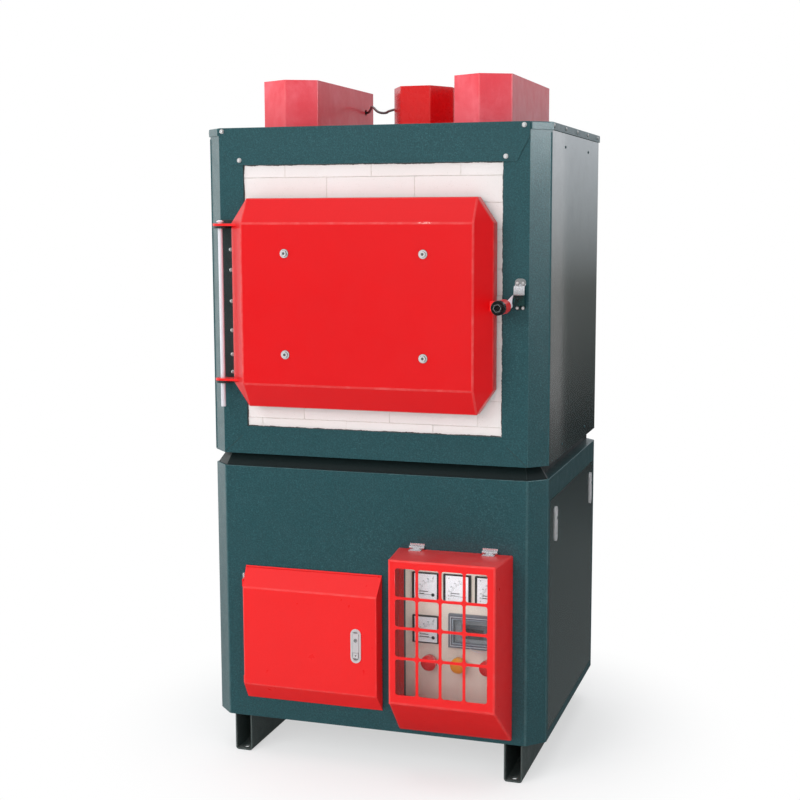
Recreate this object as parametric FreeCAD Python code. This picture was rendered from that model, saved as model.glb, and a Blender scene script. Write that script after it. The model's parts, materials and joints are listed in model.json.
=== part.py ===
import FreeCAD, Part
import os
import math

# Floor-standing electric chamber furnace: a lower cabinet with power gear, and an upper
# cabinet with a brick-lined chamber, roof-hung heating elements and a hinged door.
# Frame while modelling: x across (right positive, seen from the front), y from the front
# plane to the back, z up from the floor.  On export everything moves in y, so that the
# origin is the centre of the four foot bolts.  All sizes are millimetres.
# A "rect" is (x0, x1, z0, z1) in a plane parallel to the front.

Vector = FreeCAD.Vector
X_DIR, Y_DIR, FRONT = (1, 0, 0), (0, 1, 0), (0, -1, 0)
SIDES = (-1, 1)      # left, right

# --- driving dimensions -------------------------------------------------------
WIDTH = 900.0
HALF_W = WIDTH / 2
DEPTH = 735.0
CHAMFER = 44.5       # vertical corners of the casing
SHEET = 3.0
GAP = 0.05           # between touching pieces
RUN = 0.05           # radial running clearance

Z_RAIL = 104.4       # top of the channel feet
Z_LOW = 782.6        # top of the lower cabinet
Z_UP = 816.6         # bottom of the upper cabinet
Z_TOP = 1653.0       # top of the lid
Z_CASING = Z_TOP - SHEET - 0.2
LID_OVERHANG = 3.2

BRICK_L, BRICK_W, BRICK_H = 230.0, 114.0, 65.0
JOINT = 0.8          # mortar joint
MOUTH_X = 230.0      # half width of the chamber mouth
MOUTH_Z0, MOUTH_Z1 = 1042.0, 1397.0
CHAMBER_X = 300.0    # half width of the chamber behind the mouth
CHAMBER_Y0, CHAMBER_Y1 = 119.0, 569.0
BRICK_X = CHAMBER_X + BRICK_H        # outer half width of the chamber bricks
BRICK_Y1 = CHAMBER_Y1 + BRICK_W      # rear of the chamber bricks

ROD_X = 257.0        # centre line of each bank of heating elements
ELEMENT_YS = (205.0, 345.0, 485.0)
ROD_PITCH = 50.0     # between the two rods of an element
ROD_R = 10.0
RODS = [(side * ROD_X, y + end * ROD_PITCH / 2)
        for side in SIDES for y in ELEMENT_YS for end in (-1, 1)]
PROBE_X, PROBE_Y = 12.0, 430.0       # thermocouple axis
COVER_H = 124.0

parts = {}


# --- shape helpers --------------------------------------------------------------
def box(x0, x1, y0, y1, z0, z1):
    """Box between the given planes; the two x values may come in either order."""
    x0, x1 = sorted((x0, x1))
    return Part.makeBox(x1 - x0, y1 - y0, z1 - z0, Vector(x0, y0, z0))


def plate(rect, y0, y1):
    x0, x1, z0, z1 = rect
    return box(x0, x1, y0, y1, z0, z1)


def inset(rect, side, bottom=None, top=None):
    """Shrink a rect; bottom defaults to side, and top to bottom."""
    bottom = side if bottom is None else bottom
    top = bottom if top is None else top
    x0, x1, z0, z1 = rect
    return (x0 + side, x1 - side, z0 + bottom, z1 - top)


def around(x, z, half):
    return (x - half, x + half, z - half, z + half)


def cyl(radius, length, x, y, z, axis=(0, 0, 1)):
    return Part.makeCylinder(radius, length, Vector(x, y, z), Vector(*axis))


def face(points):
    corners = [Vector(*p) for p in points]
    return Part.Face(Part.makePolygon(corners + corners[:1]))


def prism(points, travel):
    return face(points).extrude(Vector(*travel))


def fuse(shapes):
    result = shapes[0]
    for shape in shapes[1:]:
        result = result.fuse(shape)
    return result.removeSplitter()


def group(shapes):
    return Part.makeCompound([solid for shape in shapes for solid in shape.Solids])


def largest(shape):
    return max(shape.Solids, key=lambda solid: solid.Volume)


def pairs(values):
    return list(zip(values[:-1], values[1:]))


def casing_ring(offset, z):
    """Corners of the casing outline, moved inwards by offset."""
    cut = (math.sqrt(2.0) - 1.0) * offset
    a = HALF_W - CHAMFER - cut
    b = HALF_W - offset
    front, rear = CHAMFER + cut, DEPTH - CHAMFER - cut
    return [(-a, offset, z), (a, offset, z), (b, front, z), (b, rear, z),
            (a, DEPTH - offset, z), (-a, DEPTH - offset, z), (-b, rear, z), (-b, front, z)]


def slab(offset, z0, z1):
    return prism(casing_ring(offset, z0), (0, 0, z1 - z0))


def wall(z0, z1):
    return slab(0.0, z0, z1).cut(slab(SHEET, z0 - 1, z1 + 1))


def polysolid(faces):
    return Part.Solid(Part.Shell([face(points) for points in faces]))


def rect_corners(rect, y):
    x0, x1, z0, z1 = rect
    return [(x0, y, z0), (x1, y, z0), (x1, y, z1), (x0, y, z1)]


def band(near, far):
    """Four-sided faces joining two rings with equal numbers of points."""
    n = len(near)
    return [[near[i], near[(i + 1) % n], far[(i + 1) % n], far[i]] for i in range(n)]


def frustum(front, y_front, rear, y_rear):
    near, far = rect_corners(front, y_front), rect_corners(rear, y_rear)
    return polysolid([near, far] + band(near, far))


def gem(front, y_front, rim, y_rim, y_rear):
    """Rectangular face, four bevels and corner triangles, then a straight return."""
    x0, x1, z0, z1 = front
    rim_x0, rim_x1, rim_z0, rim_z1 = rim

    def octagon(y):
        return [(x0, y, rim_z0), (x1, y, rim_z0), (rim_x1, y, z0), (rim_x1, y, z1),
                (x1, y, rim_z1), (x0, y, rim_z1), (rim_x0, y, z1), (rim_x0, y, z0)]

    a, b, c = rect_corners(front, y_front), octagon(y_rim), octagon(y_rear)
    faces = [a, c,
             [a[0], a[1], b[1], b[0]], [a[1], a[2], b[3], b[2]],
             [a[2], a[3], b[5], b[4]], [a[3], a[0], b[7], b[6]],
             [a[1], b[1], b[2]], [a[2], b[3], b[4]], [a[3], b[5], b[6]], [a[0], b[7], b[0]]]
    return polysolid(faces + band(b, c))


def stadium(width, height, x, z, y0, y1):
    """Upright round-ended plate."""
    r = width / 2
    low, high = z - height / 2 + r, z + height / 2 - r
    return fuse([box(x - r, x + r, y0, y1, low, high),
                 cyl(r, y1 - y0, x, y0, low, Y_DIR),
                 cyl(r, y1 - y0, x, y0, high, Y_DIR)])


def hex_head(radius, height, x, y, z):
    """Hexagon standing forward from y."""
    angles = [math.radians(60 * i) for i in range(6)]
    points = [(x - radius * math.sin(a), y, z + radius * math.cos(a)) for a in angles]
    return prism(points, (0, -height, 0))


def screw(x, y, z, axis, radius=5.0, height=2.6):
    return Part.makeCone(radius, radius * 0.62, height, Vector(x, y, z), Vector(*axis))


# --- feet: two folded channels, open on top, running front to back ----------------
RAIL_X = 371.8       # centre line
RAIL_W, RAIL_T = 47.8, 4.0
RAIL_Y0 = 13.2
RAIL_BEND_R = 8.0    # outer radius of the fold
FOOT_Y, FOOT_R = 33.5, 7.0


def rail(x):
    half = RAIL_W / 2
    y1 = DEPTH - RAIL_Y0
    outer = box(x - half, x + half, RAIL_Y0, y1, 0, Z_RAIL)
    outer = outer.makeFillet(RAIL_BEND_R, [
        e for e in outer.Edges if abs(e.CenterOfMass.z) < 0.01 and e.Length > 300])
    half -= RAIL_T
    inner = box(x - half, x + half, RAIL_Y0 - 1, y1 + 1, RAIL_T, Z_RAIL + 1)
    inner = inner.makeFillet(RAIL_BEND_R - RAIL_T, [
        e for e in inner.Edges if abs(e.CenterOfMass.z - RAIL_T) < 0.01 and e.Length > 300])
    channel = outer.cut(inner)
    for y in (FOOT_Y, DEPTH - FOOT_Y):
        channel = channel.cut(cyl(FOOT_R, 20, x, y, -5))
    return channel


parts["base_rails"] = group([rail(side * RAIL_X) for side in SIDES])

# --- lower cabinet ------------------------------------------------------------------
SERVICE_OPENING = (-330, 12, 178, 498)
INSTRUMENT_OPENING = (90, 353, 132, 580)
REAR_OPENING = (-380, 380, 140, 745)
SIDE_OPENING = (64, 672, 125, 725)   # y0, y1, z0, z1
RISER_X, CABLE_Y = 250, 640


def lower_frame():
    frame = wall(Z_RAIL, Z_LOW)
    frame = frame.cut(plate(SERVICE_OPENING, -1, SHEET + 1))
    frame = frame.cut(plate(INSTRUMENT_OPENING, -1, SHEET + 1))
    for side in (1, -1):
        frame = frame.cut(box(side * (HALF_W - SHEET - 1), side * (HALF_W + 1), *SIDE_OPENING))
    frame = frame.cut(plate(REAR_OPENING, DEPTH - SHEET - 1, DEPTH + 1))
    frame = fuse([frame, slab(SHEET, Z_RAIL, Z_RAIL + SHEET), slab(SHEET, Z_LOW - SHEET, Z_LOW)])
    frame = frame.cut(cyl(20.25, 20, RISER_X, CABLE_Y, Z_RAIL - 5))    # supply cable entry
    for side in SIDES:                                                 # risers to the elements
        frame = frame.cut(cyl(45, 20, side * RISER_X, CABLE_Y, Z_LOW - 10))
    return frame


def lower_rear_panel():
    panel = box(-395, 395, DEPTH, DEPTH + 2, 128, 757)
    for row in range(6):             # two columns of vent slots
        z = 560 + 22 * row
        for x in (-210, 210):
            panel = panel.cut(box(x - 90, x + 90, DEPTH - 1, DEPTH + 3, z, z + 7))
    return panel


parts["lower_frame"] = lower_frame()
parts["lower_rear_panel"] = lower_rear_panel()
parts["lower_side_left"] = box(-HALF_W - 2, -HALF_W, 50, 686, 112, 738)


# --- neck between the cabinets --------------------------------------------------------
def neck_frame():
    x = HALF_W - 26
    neck = box(-x, x, 34, DEPTH - 26, Z_LOW, Z_UP)
    x -= 40
    neck = neck.cut(box(-x, x, 74, DEPTH - 66, Z_LOW - 1, Z_UP + 1))
    return neck.cut(box(-WIDTH, WIDTH, 0, 60, 0, 2000))    # room for the skirt


def neck_skirt():
    """Sloping sheet along the front of the neck."""
    def loft(*stations):
        return Part.makeLoft([
            Part.makePolygon([Vector(*p) for p in ring + ring[:1]])
            for ring in (casing_ring(offset, z) for offset, z in stations)], True)

    outer = loft((5.0, Z_LOW + 0.4), (27.0, Z_UP - 0.4))
    inner = loft((8.0, Z_LOW - 0.6), (30.6, Z_UP + 0.6))
    return outer.cut(inner).common(box(-WIDTH, WIDTH, -10, 58, Z_LOW, Z_UP))


parts["neck_frame"] = neck_frame()
parts["neck_skirt"] = neck_skirt()

# --- upper cabinet casing ---------------------------------------------------------------
BRICK_WINDOW = (-340, 340, 889, 1559)
# x, z: right half of the top rail outline, from the bottom up
TOP_RAIL = [(349, 1559.5), (374, 1559.5), (404.5, 1618), (404.5, Z_TOP)]


def upper_frame():
    front = wall(Z_UP, Z_CASING).common(box(-WIDTH, WIDTH, -5, CHAMFER + 0.5, 0, 2000))
    front = front.cut(plate(BRICK_WINDOW, -1, SHEET + 1))
    z0, z1 = Z_UP + SHEET, Z_TOP - 25
    pieces = [front]
    inner = HALF_W - 2 * SHEET
    for side in SIDES:               # folded returns behind the front corners
        pieces.append(box(side * HALF_W, side * inner, CHAMFER - 3, CHAMFER + 0.5, z0, z1))
        pieces.append(box(side * (HALF_W - SHEET), side * inner, CHAMFER, CHAMFER + 22, z0, z1))
    front = fuse(pieces)
    floor = slab(SHEET, Z_UP, Z_UP + SHEET)
    for side in SIDES:
        floor = floor.cut(box(side * 330, side * 190, 600, 690, Z_UP - 1, Z_UP + SHEET + 1))
    return fuse([front, floor])


def lid():
    top = slab(-LID_OVERHANG, Z_TOP - 19, Z_TOP).cut(slab(-0.2, Z_TOP - 20, Z_TOP - SHEET))
    top = top.cut(box(-WIDTH, WIDTH, -20, GAP, 0, 2000))
    top = top.cut(box(-405.2, 405.2, -1, SHEET, Z_TOP - 20, Z_TOP - SHEET - 0.1))
    for x, y in RODS:
        top = top.cut(cyl(15.0, 40, x, y, Z_TOP - 10))
    return top.cut(cyl(14.0, 40, PROBE_X, PROBE_Y, Z_TOP - 10))


parts["upper_frame"] = upper_frame()
parts["top_rail"] = prism([(-x, -3, z) for x, z in TOP_RAIL]
                          + [(x, -3, z) for x, z in reversed(TOP_RAIL)], (0, 3 - GAP, 0))
parts["upper_side_panels"] = group([
    box(side * (HALF_W - SHEET), side * HALF_W, CHAMFER + 1.2, DEPTH - CHAMFER - 0.5,
        Z_UP + 0.5, Z_CASING) for side in SIDES])
parts["upper_rear_panel"] = wall(Z_UP, Z_CASING).common(
    box(-WIDTH, WIDTH, DEPTH - CHAMFER, DEPTH + 5, 0, 2000)).cut(
    slab(SHEET, Z_UP - 1, Z_UP + SHEET + 0.1))
parts["lid"] = lid()

# --- refractory -----------------------------------------------------------------------------
FACE_X = 345.0       # half width of the face wall
FACE_Y0, FACE_Y1 = 5.0, CHAMBER_Y0 - 0.5
# inner joints (x) of each full course of the face wall, from the bottom up
SILL_JOINTS = ((-298.0, -68.0, 162.0), (-182.6, 47.9, 278.0), (-298.0, -68.0, 162.0))
HEAD_JOINTS = ((-227.0, 3.0, 233.0), (-115.0, 115.0), (-227.0, 3.0, 233.0))
WALL_LEVELS = (MOUTH_Z0, MOUTH_Z0 + BRICK_W, MOUTH_Z0 + 2 * BRICK_W, MOUTH_Z1)


def brick(x0, x1, y0, y1, z0, z1):
    """Brick in an x, z cell, less half a joint on each edge; y is not reduced."""
    half = JOINT / 2
    return box(x0 + half, x1 - half, y0, y1, z0 + half, z1 - half)


def course(xs, y0, y1, z0, z1):
    return [brick(a, b, y0, y1, z0, z1) for a, b in pairs(xs)]


def front_bricks():
    bricks = []
    for base, rows in ((MOUTH_Z0 - 3 * BRICK_H, SILL_JOINTS), (MOUTH_Z1, HEAD_JOINTS)):
        for row, joints in enumerate(rows):
            z = base + row * BRICK_H
            bricks += course((-FACE_X, *joints, FACE_X), FACE_Y0, FACE_Y1, z, z + BRICK_H)
    levels = [MOUTH_Z0 + row * BRICK_H for row in range(6)] + [MOUTH_Z1]
    for z0, z1 in pairs(levels):     # beside the mouth
        for xs in ((-FACE_X, -MOUTH_X), (MOUTH_X, FACE_X)):
            bricks += course(xs, FACE_Y0, FACE_Y1, z0, z1)
    return group(bricks)


def chamber_bricks():
    bricks = []
    half = JOINT / 2
    for side in SIDES:
        for row, (z0, z1) in enumerate(pairs(WALL_LEVELS)):
            joints = (349.0,) if row % 2 == 0 else (234.0, 464.0)
            for y0, y1 in pairs((CHAMBER_Y0, *joints, CHAMBER_Y1)):
                bricks.append(box(side * CHAMBER_X, side * BRICK_X, y0 + half, y1 - half,
                                  z0 + half, z1 - half))
    for row, (z0, z1) in enumerate(pairs(WALL_LEVELS)):    # rear wall
        joints = (-230.0, 0.0, 230.0) if row % 2 == 0 else (-345.0, -115.0, 115.0, 345.0)
        bricks += course((-BRICK_X, *joints, BRICK_X), CHAMBER_Y1, BRICK_Y1, z0, z1)
    return group(bricks)


def roof_bricks():
    bricks = []
    half = JOINT / 2
    for x0, x1 in pairs((-BRICK_X, -215.0, 0.0, 215.0, BRICK_X)):
        for y0, y1 in pairs((CHAMBER_Y0, 275.0, 415.0, BRICK_Y1)):
            tile = box(x0 + half, x1 - half, y0 + half, y1 - half,
                       MOUTH_Z1 + 0.5, MOUTH_Z1 + BRICK_H)
            for x, y in RODS:
                if x0 < x < x1 and y0 < y < y1:
                    tile = tile.cut(cyl(13.0, 90, x, y, MOUTH_Z1 - 5))
            bricks.append(tile.cut(cyl(11.0, 90, PROBE_X, PROBE_Y, MOUTH_Z1 - 5)))
    return group(bricks)


def hearth_bricks():
    bricks = []
    ys = [CHAMBER_Y0 + row * BRICK_W for row in range(5)] + [BRICK_Y1]
    for layer, joints in ((2, (-230.0, 0.0, 230.0)), (1, (-115.0, 115.0))):
        z = MOUTH_Z0 - layer * BRICK_H
        for y0, y1 in pairs(ys):
            bricks += course((-BRICK_X, *joints, BRICK_X), y0 + JOINT / 2, y1 - JOINT / 2,
                             z, z + BRICK_H)
    bricks.append(box(-225, 225, 125, 560, MOUTH_Z0 + 0.2, MOUTH_Z0 + 18))    # hearth plate
    return group(bricks)


def insulation_blanket():
    z0, z1 = MOUTH_Z0 - 2 * BRICK_H + 0.5, MOUTH_Z1 + BRICK_H + 0.5
    back = DEPTH - 4
    blankets = [box(side * (BRICK_X + 1), side * 444, 50, 684, z0, z1) for side in SIDES]
    blankets.append(box(-400, 400, BRICK_Y1 + 1.5, back, z0, z1))
    blankets.append(box(-400, 400, 120, back, Z_UP + SHEET + 0.5, z0 - 1))
    top = box(-400, 400, 120, back, z1 + 0.5, Z_TOP - SHEET - 1)
    for x, y in RODS:
        top = top.cut(cyl(16.0, 300, x, y, 1400))
    blankets.append(top.cut(cyl(14.0, 300, PROBE_X, PROBE_Y, 1400)))
    return group(blankets)


parts["front_bricks"] = front_bricks()
parts["chamber_bricks"] = chamber_bricks()
parts["roof_bricks"] = roof_bricks()
parts["hearth_bricks"] = hearth_bricks()
parts["insulation_blanket"] = insulation_blanket()

# --- heating elements: hairpin rods hanging through the roof -----------------------------------
ROD_Z0, ROD_Z1 = MOUTH_Z0 + 30, Z_TOP + 70


def heating_element(x, y):
    half = ROD_PITCH / 2
    length = ROD_Z1 - ROD_Z0
    return fuse([cyl(ROD_R, length, x, y - half, ROD_Z0), cyl(ROD_R, length, x, y + half, ROD_Z0),
                 box(x - 12, x + 12, y - half - 14, y + half + 14, ROD_Z0 - 22, ROD_Z0 + 2)])


def element_terminals():
    """Collars on the lid, clamps on the rods and one bar along each bank."""
    pieces = []
    for x, y in RODS:
        pieces.append(cyl(24, 14, x, y, Z_TOP + 0.2).cut(cyl(ROD_R + 1, 40, x, y, Z_TOP - 5)))
        pieces.append(cyl(15, 20, x, y, Z_TOP + 40).cut(
            cyl(ROD_R + GAP, 40, x, y, Z_TOP + 30)))
    for side in SIDES:
        pieces.append(box(side * (ROD_X + 14.5), side * (ROD_X + 17.5), 160, 530,
                          Z_TOP + 42, Z_TOP + 58))
    return group(pieces)


parts["heating_elements"] = group([
    heating_element(side * ROD_X, y) for side in SIDES for y in ELEMENT_YS])
parts["element_terminals"] = element_terminals()

# --- covers and thermocouple on the lid -----------------------------------------------------------
COVER_Z0 = Z_TOP + 0.3
CABLE_HOLE_R = 8.5
# x, y: outline of the middle cover
MID_COVER = [(-22.5, 325), (60.5, 325), (101, 398), (101, 440),
             (60.5, 513), (-22.5, 513), (-63, 440), (-63, 398)]
MID_X, MID_Y = 19, 419
MID_INNER_SCALE = 0.983
# x, y, z: points on the cable from the left cover to inside the middle one
CABLE_PATH = [(-215, 505, 1722), (-178, 505, 1719.9), (-160, 480, 1727), (-141, 446, 1729.7),
              (-122, 440, 1716), (-106, 446, 1714), (-90, 433, 1717.5), (-63, 420, 1721.5),
              (-40, 416, 1723)]


def side_cover(x):
    """Long hexagonal hood, open below."""
    def hexagon(half, y0, shoulder0, shoulder1, y1, z):
        return [(x, y0, z), (x + half, shoulder0, z), (x + half, shoulder1, z),
                (x, y1, z), (x - half, shoulder1, z), (x - half, shoulder0, z)]

    outer = prism(hexagon(75, 85, 125, 570, 610, COVER_Z0), (0, 0, COVER_H))
    inner = prism(hexagon(73.5, 86.7, 125.4, 569.6, 608.3, Z_TOP - 1), (0, 0, COVER_H - 0.2))
    return outer.cut(inner)


def mid_cover():
    outer = prism([(x, y, COVER_Z0) for x, y in MID_COVER], (0, 0, COVER_H - 3))
    inner = prism([(MID_X + (x - MID_X) * MID_INNER_SCALE,
                    MID_Y + (y - MID_Y) * MID_INNER_SCALE, Z_TOP - 1) for x, y in MID_COVER],
                  (0, 0, COVER_H - 3.2))
    return outer.cut(inner).cut(cyl(CABLE_HOLE_R, 20, -70, 420, 1721.5, X_DIR))


def thermocouple():
    # radius, length, z of each round section
    sections = ((8.0, 430, 1290), (19, 6, COVER_Z0), (27, 34, Z_TOP + 34), (12, 30, Z_TOP + 6))
    return group([fuse([cyl(r, h, PROBE_X, PROBE_Y, z) for r, h, z in sections])])


def sensor_cable():
    points = [Vector(*p) for p in CABLE_PATH]
    curve = Part.BSplineCurve()
    curve.interpolate(points)
    start = curve.tangent(curve.FirstParameter)[0]
    profile = Part.Wire([Part.Circle(points[0], start, 3.4).toShape()])
    return Part.Wire([curve.toShape()]).makePipeShell([profile], True, False)


parts["cover_left"] = side_cover(-ROD_X).cut(
    cyl(CABLE_HOLE_R, 20, -ROD_X + 66, 504.0, 1720.5, X_DIR))
parts["cover_right"] = side_cover(ROD_X)
parts["cover_mid"] = mid_cover()
parts["thermocouple"] = thermocouple()
parts["sensor_cable"] = sensor_cable()

# --- main door -----------------------------------------------------------------------------------------
DOOR_Y = -79.5       # face plane
DOOR_RIM_Y = -40.1   # outer edge of the bevels
DOOR_REAR_Y = -8.8   # rear edge of the return
DOOR_FACE = (-315.1, 286.4, 1009.0, 1413.0)
DOOR_RIM = (-357.7, 328.2, 947.0, 1475.4)
DOOR_T = 2.0
LINING = (-290, 260, 1016, 1406)
DOOR_BOLTS = [(-197.5, 1338.5), (162.0, 1338.5), (-198.0, 1086.5), (162.0, 1086.5)]   # x, z
PIN_X, PIN_Y, PIN_R = -388.0, -40.0, 6.0
EAR_ZS = (1400.0, 1006.0)      # underside of each frame ear
EAR_R, EAR_T = 19, 6
door_outer = gem(DOOR_FACE, DOOR_Y, DOOR_RIM, DOOR_RIM_Y, DOOR_REAR_Y)


def hinge_plate():
    hinge = box(-403, -345, -4, -GAP, 1000, 1422)
    for z in EAR_ZS:
        hinge = hinge.fuse(fuse([cyl(EAR_R, EAR_T, PIN_X, PIN_Y, z),
                                 box(PIN_X - 15, PIN_X + 17, PIN_Y, -4, z, z + EAR_T)]))
    hinge = hinge.removeSplitter()
    for z in EAR_ZS:
        hinge = hinge.cut(cyl(PIN_R + RUN, 20, PIN_X, PIN_Y, z - 5))
    return hinge


def door_pan():
    pan = door_outer.cut(gem(inset(DOOR_FACE, 0.7), DOOR_Y + DOOR_T, inset(DOOR_RIM, DOOR_T),
                             DOOR_RIM_Y + 1.0, DOOR_REAR_Y + 1))
    for x, z in DOOR_BOLTS:
        pan = pan.cut(cyl(4.1, 20, x, DOOR_Y - 5, z, Y_DIR))
    return pan


def door_back_plate():
    back = gem(inset(DOOR_FACE, 0.7), -60, inset(DOOR_RIM, 2.2), -14.0, -9.2)
    back = back.common(box(-500, 500, -12.2, -9.2, 0, 2000))
    return back.cut(plate(inset(LINING, -0.4), -20, 10))


def door_bolt(x, z):
    y = DOOR_Y - 2 - GAP
    bolt = fuse([cyl(11.5, 2.0, x, y, z, Y_DIR), hex_head(8.2, 6.5, x, y, z),
                 cyl(4.0, 9.0, x, y, z, Y_DIR)])
    return bolt.cut(box(-400, 400, DOOR_Y + DOOR_T + 0.4, 0, 900, 1500))


def door_lug(ear_z):
    z = ear_z + EAR_T + 0.4
    lug = fuse([cyl(EAR_R, EAR_T, PIN_X, PIN_Y, z),
                box(PIN_X, -326, PIN_Y - EAR_R, PIN_Y + 17, z, z + EAR_T)])
    return largest(lug.cut(cyl(PIN_R + RUN, 20, PIN_X, PIN_Y, ear_z)).cut(door_outer))


parts["hinge_plate"] = hinge_plate()
parts["hinge_rod"] = fuse([cyl(PIN_R, 1421 - 944, PIN_X, PIN_Y, 944),
                           cyl(9, 4, PIN_X, PIN_Y, 1415.2)])
parts["door_pan"] = door_pan()
parts["door_lining"] = plate(LINING, DOOR_Y + DOOR_T + 0.5, 4.5)
parts["door_back_plate"] = door_back_plate()
parts["door_bolts"] = group([door_bolt(x, z) for x, z in DOOR_BOLTS])
parts["door_lugs"] = group([door_lug(z) for z in EAR_ZS])

# --- latch -------------------------------------------------------------------------------------------------
LATCH_X, LATCH_Z = 358.0, 1215.0
LATCH_R, LATCH_BORE = 17.5, 8.0
KNOB_Y = -123.6      # front of the round knob
# x, z from the latch axis
CAM = ((-6, 3), (-3, 12), (11, 26), (11.5, 24.5), (8.5, 11), (8.5, 3), (0, 0))
KEEPER_X0, KEEPER_X1 = 371.0, 398.0
KEEPER_Z0, KEEPER_Z1 = 1203.0, 1279.5
# y, z: side profile of the folded keeper strip
KEEPER = [(-GAP, KEEPER_Z0), (-3, KEEPER_Z0), (-3, 1214), (-16.5, 1219), (-16.5, 1257),
          (-3, 1262), (-3, KEEPER_Z1), (-GAP, KEEPER_Z1), (-GAP, 1260.4), (-13.5, 1254.9),
          (-13.5, 1221.1), (-GAP, 1215.6)]


def latch_cyl(radius, length, y):
    return cyl(radius, length, LATCH_X, y, LATCH_Z, Y_DIR)


def latch_boss():
    z0, z1 = LATCH_Z - 12, LATCH_Z + 12
    boss = fuse([latch_cyl(LATCH_R, 48, -108), box(324, LATCH_X, -64, -40, z0, z1),
                 box(337, LATCH_X, -84, -40, z0, z1)])
    return largest(boss.cut(door_outer).cut(latch_cyl(LATCH_BORE + RUN, 200, -150)))


def latch_spindle():
    cam = prism([(LATCH_X + x, -12.0, LATCH_Z + z) for x, z in CAM], (0, 5, 0))
    return fuse([latch_cyl(LATCH_BORE, 49.6, -108.6), latch_cyl(6, 52, -59),
                 latch_cyl(9.5, 5, -12), cam])


def latch_knob():
    knob = latch_cyl(LATCH_R, 15, KNOB_Y)
    knob = knob.makeFillet(2.0, [e for e in knob.Edges if isinstance(e.Curve, Part.Circle)
                                 and abs(e.CenterOfMass.y - KNOB_Y) < 0.1])
    knob = fuse([knob, hex_head(12.0, 6, LATCH_X, KNOB_Y, LATCH_Z)])
    return knob.cut(latch_cyl(7, 8, -131))


def latch_keeper():
    strip = prism([(KEEPER_X0, y, z) for y, z in KEEPER], (KEEPER_X1 - KEEPER_X0, 0, 0))
    rounded = box(KEEPER_X0, KEEPER_X1, -30, 10, KEEPER_Z0, KEEPER_Z1)
    for radius, z in ((10.0, KEEPER_Z1), (7.0, KEEPER_Z0)):
        rounded = rounded.makeFillet(radius, [
            e for e in rounded.Edges
            if abs(e.CenterOfMass.z - z) < 0.1 and abs(e.CenterOfMass.y + 10) < 0.1])
    return strip.common(rounded)


parts["latch_boss"] = latch_boss()
parts["latch_spindle"] = latch_spindle()
parts["latch_knob"] = latch_knob()
parts["latch_keeper"] = latch_keeper()


# --- plate locks ------------------------------------------------------------------------------------------------
def lock(position, turn):
    """Body, recessed pull handle and push button; faces -y before the turn about z."""
    body = fuse([stadium(28, 90, 0, 0, -2.5, -GAP), stadium(22, 84, 0, 0, -0.5, 15.0)])
    body = body.cut(stadium(17.6, 76, 0, 0, -4, 10.0))
    body = fuse([body, cyl(1.2, 19.6, -9.8, 0, 31, X_DIR)])
    handle = fuse([box(-8, 8, -3.4, 1.6, -17, 28), cyl(8, 5, 0, -3.4, 26, Y_DIR),
                   cyl(2.9, 15, -7.5, 0, 31, X_DIR)])
    handle = handle.cut(box(-20, 20, -10, 10, 34, 60))
    handle = handle.cut(cyl(1.2 + RUN, 30, -15, 0, 31, X_DIR))
    button = box(-7, 7, -3.4, 6.0, -32, -18.2)
    for piece in (body, handle, button):
        piece.rotate(Vector(0, 0, 0), Vector(0, 0, 1), turn)
        piece.translate(Vector(*position))
    return body, handle, button


LOCK_HOLE = (23.4, 85.4)       # width, height

# --- service door, lower left -------------------------------------------------------------------------------------
SERVICE_Y, SERVICE_REAR_Y = -38.0, -3.0
SERVICE_FACE = (-345.0, 24.5, 205.5, 467.0)
SERVICE_RIM = (-349.0, 28.5, 159.0, 518.0)
SERVICE_LOCK_X, SERVICE_LOCK_Z = -31.0, 336.5
HINGE_X, HINGE_Y = -353.5, -6.5
HINGE_ZS, HINGE_H = (452.0, 190.0), 45.0
KNUCKLE_R, SMALL_PIN_R = 4, 2.0


def service_door():
    outer = frustum(SERVICE_FACE, SERVICE_Y, SERVICE_RIM, SERVICE_REAR_Y)
    inner = frustum(inset(SERVICE_FACE, 1.5, 1.0), SERVICE_Y + 1.5,
                    inset(SERVICE_RIM, 1.5, 2.0), SERVICE_REAR_Y - 1.5)
    door = outer.cut(inner)
    door = door.cut(plate(inset(SERVICE_RIM, 16), SERVICE_REAR_Y - 2, SERVICE_REAR_Y + 2))
    door = door.cut(stadium(*LOCK_HOLE, SERVICE_LOCK_X, SERVICE_LOCK_Z,
                            SERVICE_Y - 2, SERVICE_Y + 4))
    for z in HINGE_ZS:
        knuckle = fuse([cyl(KNUCKLE_R, 20.4, HINGE_X, HINGE_Y, z + 12.3),
                        box(HINGE_X + 1.0, HINGE_X + 4.0, HINGE_Y - 17, HINGE_Y,
                            z + 12.3, z + 32.7)])
        knuckle = knuckle.cut(cyl(SMALL_PIN_R + RUN, 60, HINGE_X, HINGE_Y, z - 5)).cut(outer)
        door = door.fuse(largest(knuckle))
    return door.removeSplitter()


def service_hinge(z0):
    """Fixed knuckles and pin."""
    z1 = z0 + HINGE_H
    x0, x1 = HINGE_X - 4, HINGE_X + 1.5
    return fuse([cyl(KNUCKLE_R, 12, HINGE_X, HINGE_Y, z0),
                 cyl(KNUCKLE_R, 12, HINGE_X, HINGE_Y, z1 - 12),
                 cyl(SMALL_PIN_R, HINGE_H, HINGE_X, HINGE_Y, z0),
                 box(x0, x1, HINGE_Y, -GAP, z0, z0 + 12),
                 box(x0, x1, HINGE_Y, -GAP, z1 - 12, z1)])


parts["service_door"] = service_door()
(parts["service_lock"], parts["service_handle"],
 parts["service_lock_button"]) = lock((SERVICE_LOCK_X, SERVICE_Y, SERVICE_LOCK_Z), 0)

# --- removable right side panel with two plate locks ----------------------------------------------------------------
SIDE_LOCKS = (("front", 137.0), ("rear", 633.0))     # name, y
SIDE_LOCK_Z = 651.0

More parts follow.
